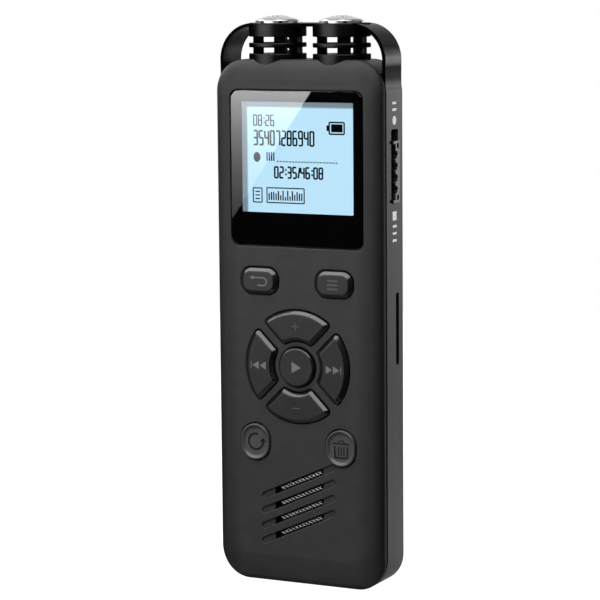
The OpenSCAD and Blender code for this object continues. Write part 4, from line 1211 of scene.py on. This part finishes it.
marks = [circle(0.1, 79.6, 0.75, 32)]
marks += [bar(MARK_Y[0], z, MARK_Y[1], z, 0.4) for z in (81.4, 82.5)]
marks += [round_outline(*MARK_Y, 62.9, 64.4, 0.1, 2)]
marks += [bar(MARK_Y[0], z, MARK_Y[1], z, 0.4) for z in (59.5, 60.7, 61.9)]
dress(build("switch_marks", *(prism(outline, *MARK_X, 0) for outline in marks)), white_print)


# Camera at the photograph's viewing angle, for an image of 600 by 600

IMAGE = 600
FOCAL = 2455.6
SENSOR = 36.0
CAMERA_AT = Vector((182.43, -373.62, 104.26))
YAW, PITCH, ROLL = (radians(angle) for angle in (26.3, 7.615, -0.487))

ahead = Vector((-sin(YAW) * cos(PITCH), cos(YAW) * cos(PITCH), -sin(PITCH)))
level = Vector((cos(YAW), sin(YAW), 0))
upright = level.cross(ahead)
across = level * cos(ROLL) + upright * sin(ROLL)
above = upright * cos(ROLL) - level * sin(ROLL)
camera = bpy.data.objects.new("camera", bpy.data.cameras.new("camera"))
scene.collection.objects.link(camera)
camera.data.sensor_width = SENSOR
camera.data.lens = FOCAL * SENSOR / IMAGE
camera.data.clip_start = 0.01
facing = Matrix((across, above, -ahead)).transposed().to_4x4()
camera.matrix_world = Matrix.Translation(CAMERA_AT * MM) @ facing
scene.camera = camera


# Studio: floor, white surroundings behind, soft lamps, and cards that only reflections show

def stage_material(name):
    """Empty material for a stage piece, with its node tree and the input for its surface."""
    material = bpy.data.materials.new(name)
    material.use_nodes = True
    tree = material.node_tree
    tree.nodes.clear()
    return material, tree, new_node(tree, "OutputMaterial").inputs["Surface"]


def rays(tree):
    """Factors that are 1 for camera rays, and for glossy or transmission rays."""
    path = new_node(tree, "LightPath").outputs
    seen = path["Is Camera Ray"]
    mirror = calc(tree, "MAXIMUM", path["Is Glossy Ray"], path["Is Transmission Ray"])
    return seen, calc(tree, "MULTIPLY", mirror, calc(tree, "SUBTRACT", 1.0, seen))


SECTOR = 1.2


def back_sector(tree, x, y, start, end):
    """0 in front and at the sides, and 1 in a sector behind."""
    aside = calc(tree, "MULTIPLY", calc(tree, "ABSOLUTE", x), SECTOR)
    return ease(tree, calc(tree, "SUBTRACT", y, aside), start, end)


# Floor: distances over which its levels change, in metres, and its levels near the part and away from it
FLOOR_R = 340.0
FLOOR_Z = (-2.0, -0.02)
FLOOR_FADE = (0.06, 0.16)
FLOOR_SEEN = (0.95, 1.0)
FLOOR_MIRRORED = (0.53, 0.42)
FLOOR_GREY = (0.25, 0.25, 0.25, 1)
FLOOR_BACK = (-0.05, 0.0)
floor = build("floor", rod_z(0, 0, FLOOR_R, *FLOOR_Z))
floor.data.transform(Matrix.Scale(MM, 4))
floor_paint, tree, floor_surface = stage_material("floor_paint")
floor_x, floor_y = axes(tree, place(tree))[:2]
squares = [calc(tree, "MULTIPLY", part, part) for part in (floor_x, floor_y)]
distance = calc(tree, "POWER", calc(tree, "ADD", *squares), 0.5)
seen, mirror = rays(tree)
seen_level = calc(tree, "MULTIPLY", seen, ease(tree, distance, *FLOOR_FADE, *FLOOR_SEEN))
mirror_level = calc(tree, "MULTIPLY", ease(tree, distance, *FLOOR_FADE, *FLOOR_MIRRORED),
                    back_sector(tree, floor_x, floor_y, *FLOOR_BACK))
matt = new_node(tree, "BsdfDiffuse", color=FLOOR_GREY)
white, plain = (new_node(tree, "Emission", strength=strength) for strength in (seen_level, mirror_level))
both = new_node(tree, "AddShader", matt.outputs["BSDF"], white.outputs["Emission"])
choice = new_node(tree, "MixShader", mirror, both.outputs["Shader"], plain.outputs["Emission"])
tree.links.new(choice.outputs["Shader"], floor_surface)
floor.data.materials.append(floor_paint)

# Surroundings by direction: mirrors show them bright low behind, dark in front and above the right horizon
FILL = 0.07
FRONT_GLOSS = 0.02
SKY_RIGHT = ((-1, 0.5), (-0.1, 0.5), (-0.05, 0.9), (0.02, 0.9), (0.07, 0.13), (0.22, 0.1), (0.33, 0.45),
             (0.38, 0.45), (0.46, 0.1), (1, 0.3))
SKY_LEFT = (0.4, 1.0, 1.0, 0.5)
SKY_TURN = (-0.15, 0.2)
SKY_BACK = (-0.1, 0.25)
world = bpy.data.worlds.new("studio")
scene.world = world
world.use_nodes = True
tree = world.node_tree
sky_x, sky_y, sky_z = axes(tree, new_node(tree, "TexCoord").outputs["Generated"])
height = calc(tree, "MULTIPLY", calc(tree, "ADD", sky_z, 1.0), 0.5)
right_sky = ramp(tree, height, [((at + 1) / 2, [value] * 3) for at, value in SKY_RIGHT])
left_sky = ease(tree, sky_z, *SKY_LEFT)
to_right = ease(tree, sky_x, *SKY_TURN)
sky = calc(tree, "ADD", calc(tree, "MULTIPLY", right_sky, to_right),
           calc(tree, "MULTIPLY", left_sky, calc(tree, "SUBTRACT", 1.0, to_right)))
behind = calc(tree, "MULTIPLY", sky, back_sector(tree, sky_x, sky_y, *SKY_BACK))
mirrored = calc(tree, "ADD", behind, FRONT_GLOSS)
seen, mirror = rays(tree)
unseen = calc(tree, "ADD", calc(tree, "MULTIPLY", mirror, calc(tree, "SUBTRACT", mirrored, FILL)), FILL)
feed(tree, tree.nodes["Background"], color=(1, 1, 1, 1), strength=calc(tree, "MAXIMUM", seen, unseen))


def lamp(name, at, aim, size, power):
    """Soft square lamp that neither the camera nor reflections show; places and size are in millimetres."""
    light = bpy.data.lights.new(name, "AREA")
    light.size = size * MM
    light.energy = power
    holder = bpy.data.objects.new(name, light)
    scene.collection.objects.link(holder)
    holder.location = Vector(at) * MM
    holder.rotation_euler = (Vector(aim) - Vector(at)).to_track_quat("-Z", "Y").to_euler()
    holder.visible_glossy = False
    holder.visible_camera = False


lamp("overhead", (-110, -60, 380), (0, 0, 80), 300, 0.5)
lamp("key", (-35, -171, 232), (0, 0, 50), 190, 0.66)
lamp("side", (190, 320, 110), (0, 0, 50), 120, 3.2)


def mirror_card(name, mesh):
    """Glowing card that only reflections show; returns its node tree and its glow."""
    piece = build(name, mesh)
    piece.data.transform(Matrix.Scale(MM, 4))
    paint, tree, card_surface = stage_material(name)
    glow = new_node(tree, "Emission")
    tree.links.new(glow.outputs["Emission"], card_surface)
    piece.data.materials.append(paint)
    for kind in ("camera", "diffuse", "transmission", "shadow"):
        setattr(piece, "visible_" + kind, False)
    return tree, glow


# Card that the black microphone collars mirror, too high for the window to show; it fades along X, in metres
RING_CARD_R = 250.0
RING_CARD_Z = (76.0, 130.0)
RING_CARD_SPAN = (188, 286)
RING_CARD_GLOW = 4.2
RING_CARD_FADES = ((-0.247, -0.17), (0.05, -0.07))
rows = [[(x, y, z) for x, y in arc(0, 0, RING_CARD_R, *RING_CARD_SPAN, 20)] for z in RING_CARD_Z]
tree, glow = mirror_card("left_card", sheet(rows))
card_x = axes(tree, place(tree))["X"]
fades = calc(tree, "MULTIPLY", *(ease(tree, card_x, *ends) for ends in RING_CARD_FADES))
feed(tree, glow, strength=calc(tree, "MULTIPLY", fades, RING_CARD_GLOW))

# Card that the upward bevels of the keys mirror
KEY_CARD_AT = Vector((0, KEY_TOP, PAD_Z + 6))
KEY_CARD_REACH = 300.0
KEY_CARD_GLOW = 4.5
KEY_CARD_SLOPES = (32, 40, 50, 60)
KEY_CARD_TURNS = range(-42, 55, 8)
to_eye = (CAMERA_AT - KEY_CARD_AT).normalized()


def bevel_view(slope, turn_angle):
    """Place that the camera sees mirrored in a bevel with this slope, turned this far from upwards."""
    tilt, aside = radians(slope), radians(turn_angle)
    normal = Vector((sin(tilt) * sin(aside), -cos(tilt), sin(tilt) * cos(aside)))
    return KEY_CARD_AT + (normal * 2 * to_eye.dot(normal) - to_eye) * KEY_CARD_REACH


rows = [[bevel_view(slope, turn_angle) for turn_angle in KEY_CARD_TURNS] for slope in KEY_CARD_SLOPES]
tree, glow = mirror_card("key_card", sheet(rows))
feed(tree, glow, strength=KEY_CARD_GLOW)

# Card that the window mirrors: it ends at a slanting edge and grows darker downwards
WINDOW_CARD_Y = -620.0
EDGE = ((2.96, 84.58), (-12.38, 62.46))
CARD_Z = (58, 86)
CARD_LEFT = -24
CARD_LOW, CARD_HIGH = 60.0, 85.0
CARD_DIM, CARD_RISE = 0.8, 13.8
mirrored_eye = Vector((CAMERA_AT.x, 2 * FRONT - CAMERA_AT.y, CAMERA_AT.z))


def on_card(x, z):
    """Place on the card that the camera sees mirrored at a place on the window's face."""
    ray = Vector((x, FRONT, z)) - mirrored_eye
    return mirrored_eye + ray * (WINDOW_CARD_Y - mirrored_eye.y) / ray.y


edge_slope = (EDGE[0][0] - EDGE[1][0]) / (EDGE[0][1] - EDGE[1][1])
edge_places = [(EDGE[1][0] + edge_slope * (z - EDGE[1][1]), z) for z in CARD_Z]
card_corners = [tuple(on_card(*at)) for at in (*edge_places, (CARD_LEFT, CARD_Z[1]), (CARD_LEFT, CARD_Z[0]))]
tree, glow = mirror_card("window_card", (card_corners, [(0, 1, 2, 3)]))
card_ends = [on_card(0, z).z * MM for z in (CARD_LOW, CARD_HIGH)]
rise = ease(tree, axes(tree, place(tree))["Z"], *card_ends, kind="LINEAR")
feed(tree, glow, strength=calc(tree, "MULTIPLY", calc(tree, "POWER", CARD_RISE, rise), CARD_DIM))

bpy.context.scene.view_settings.view_transform = "Standard"
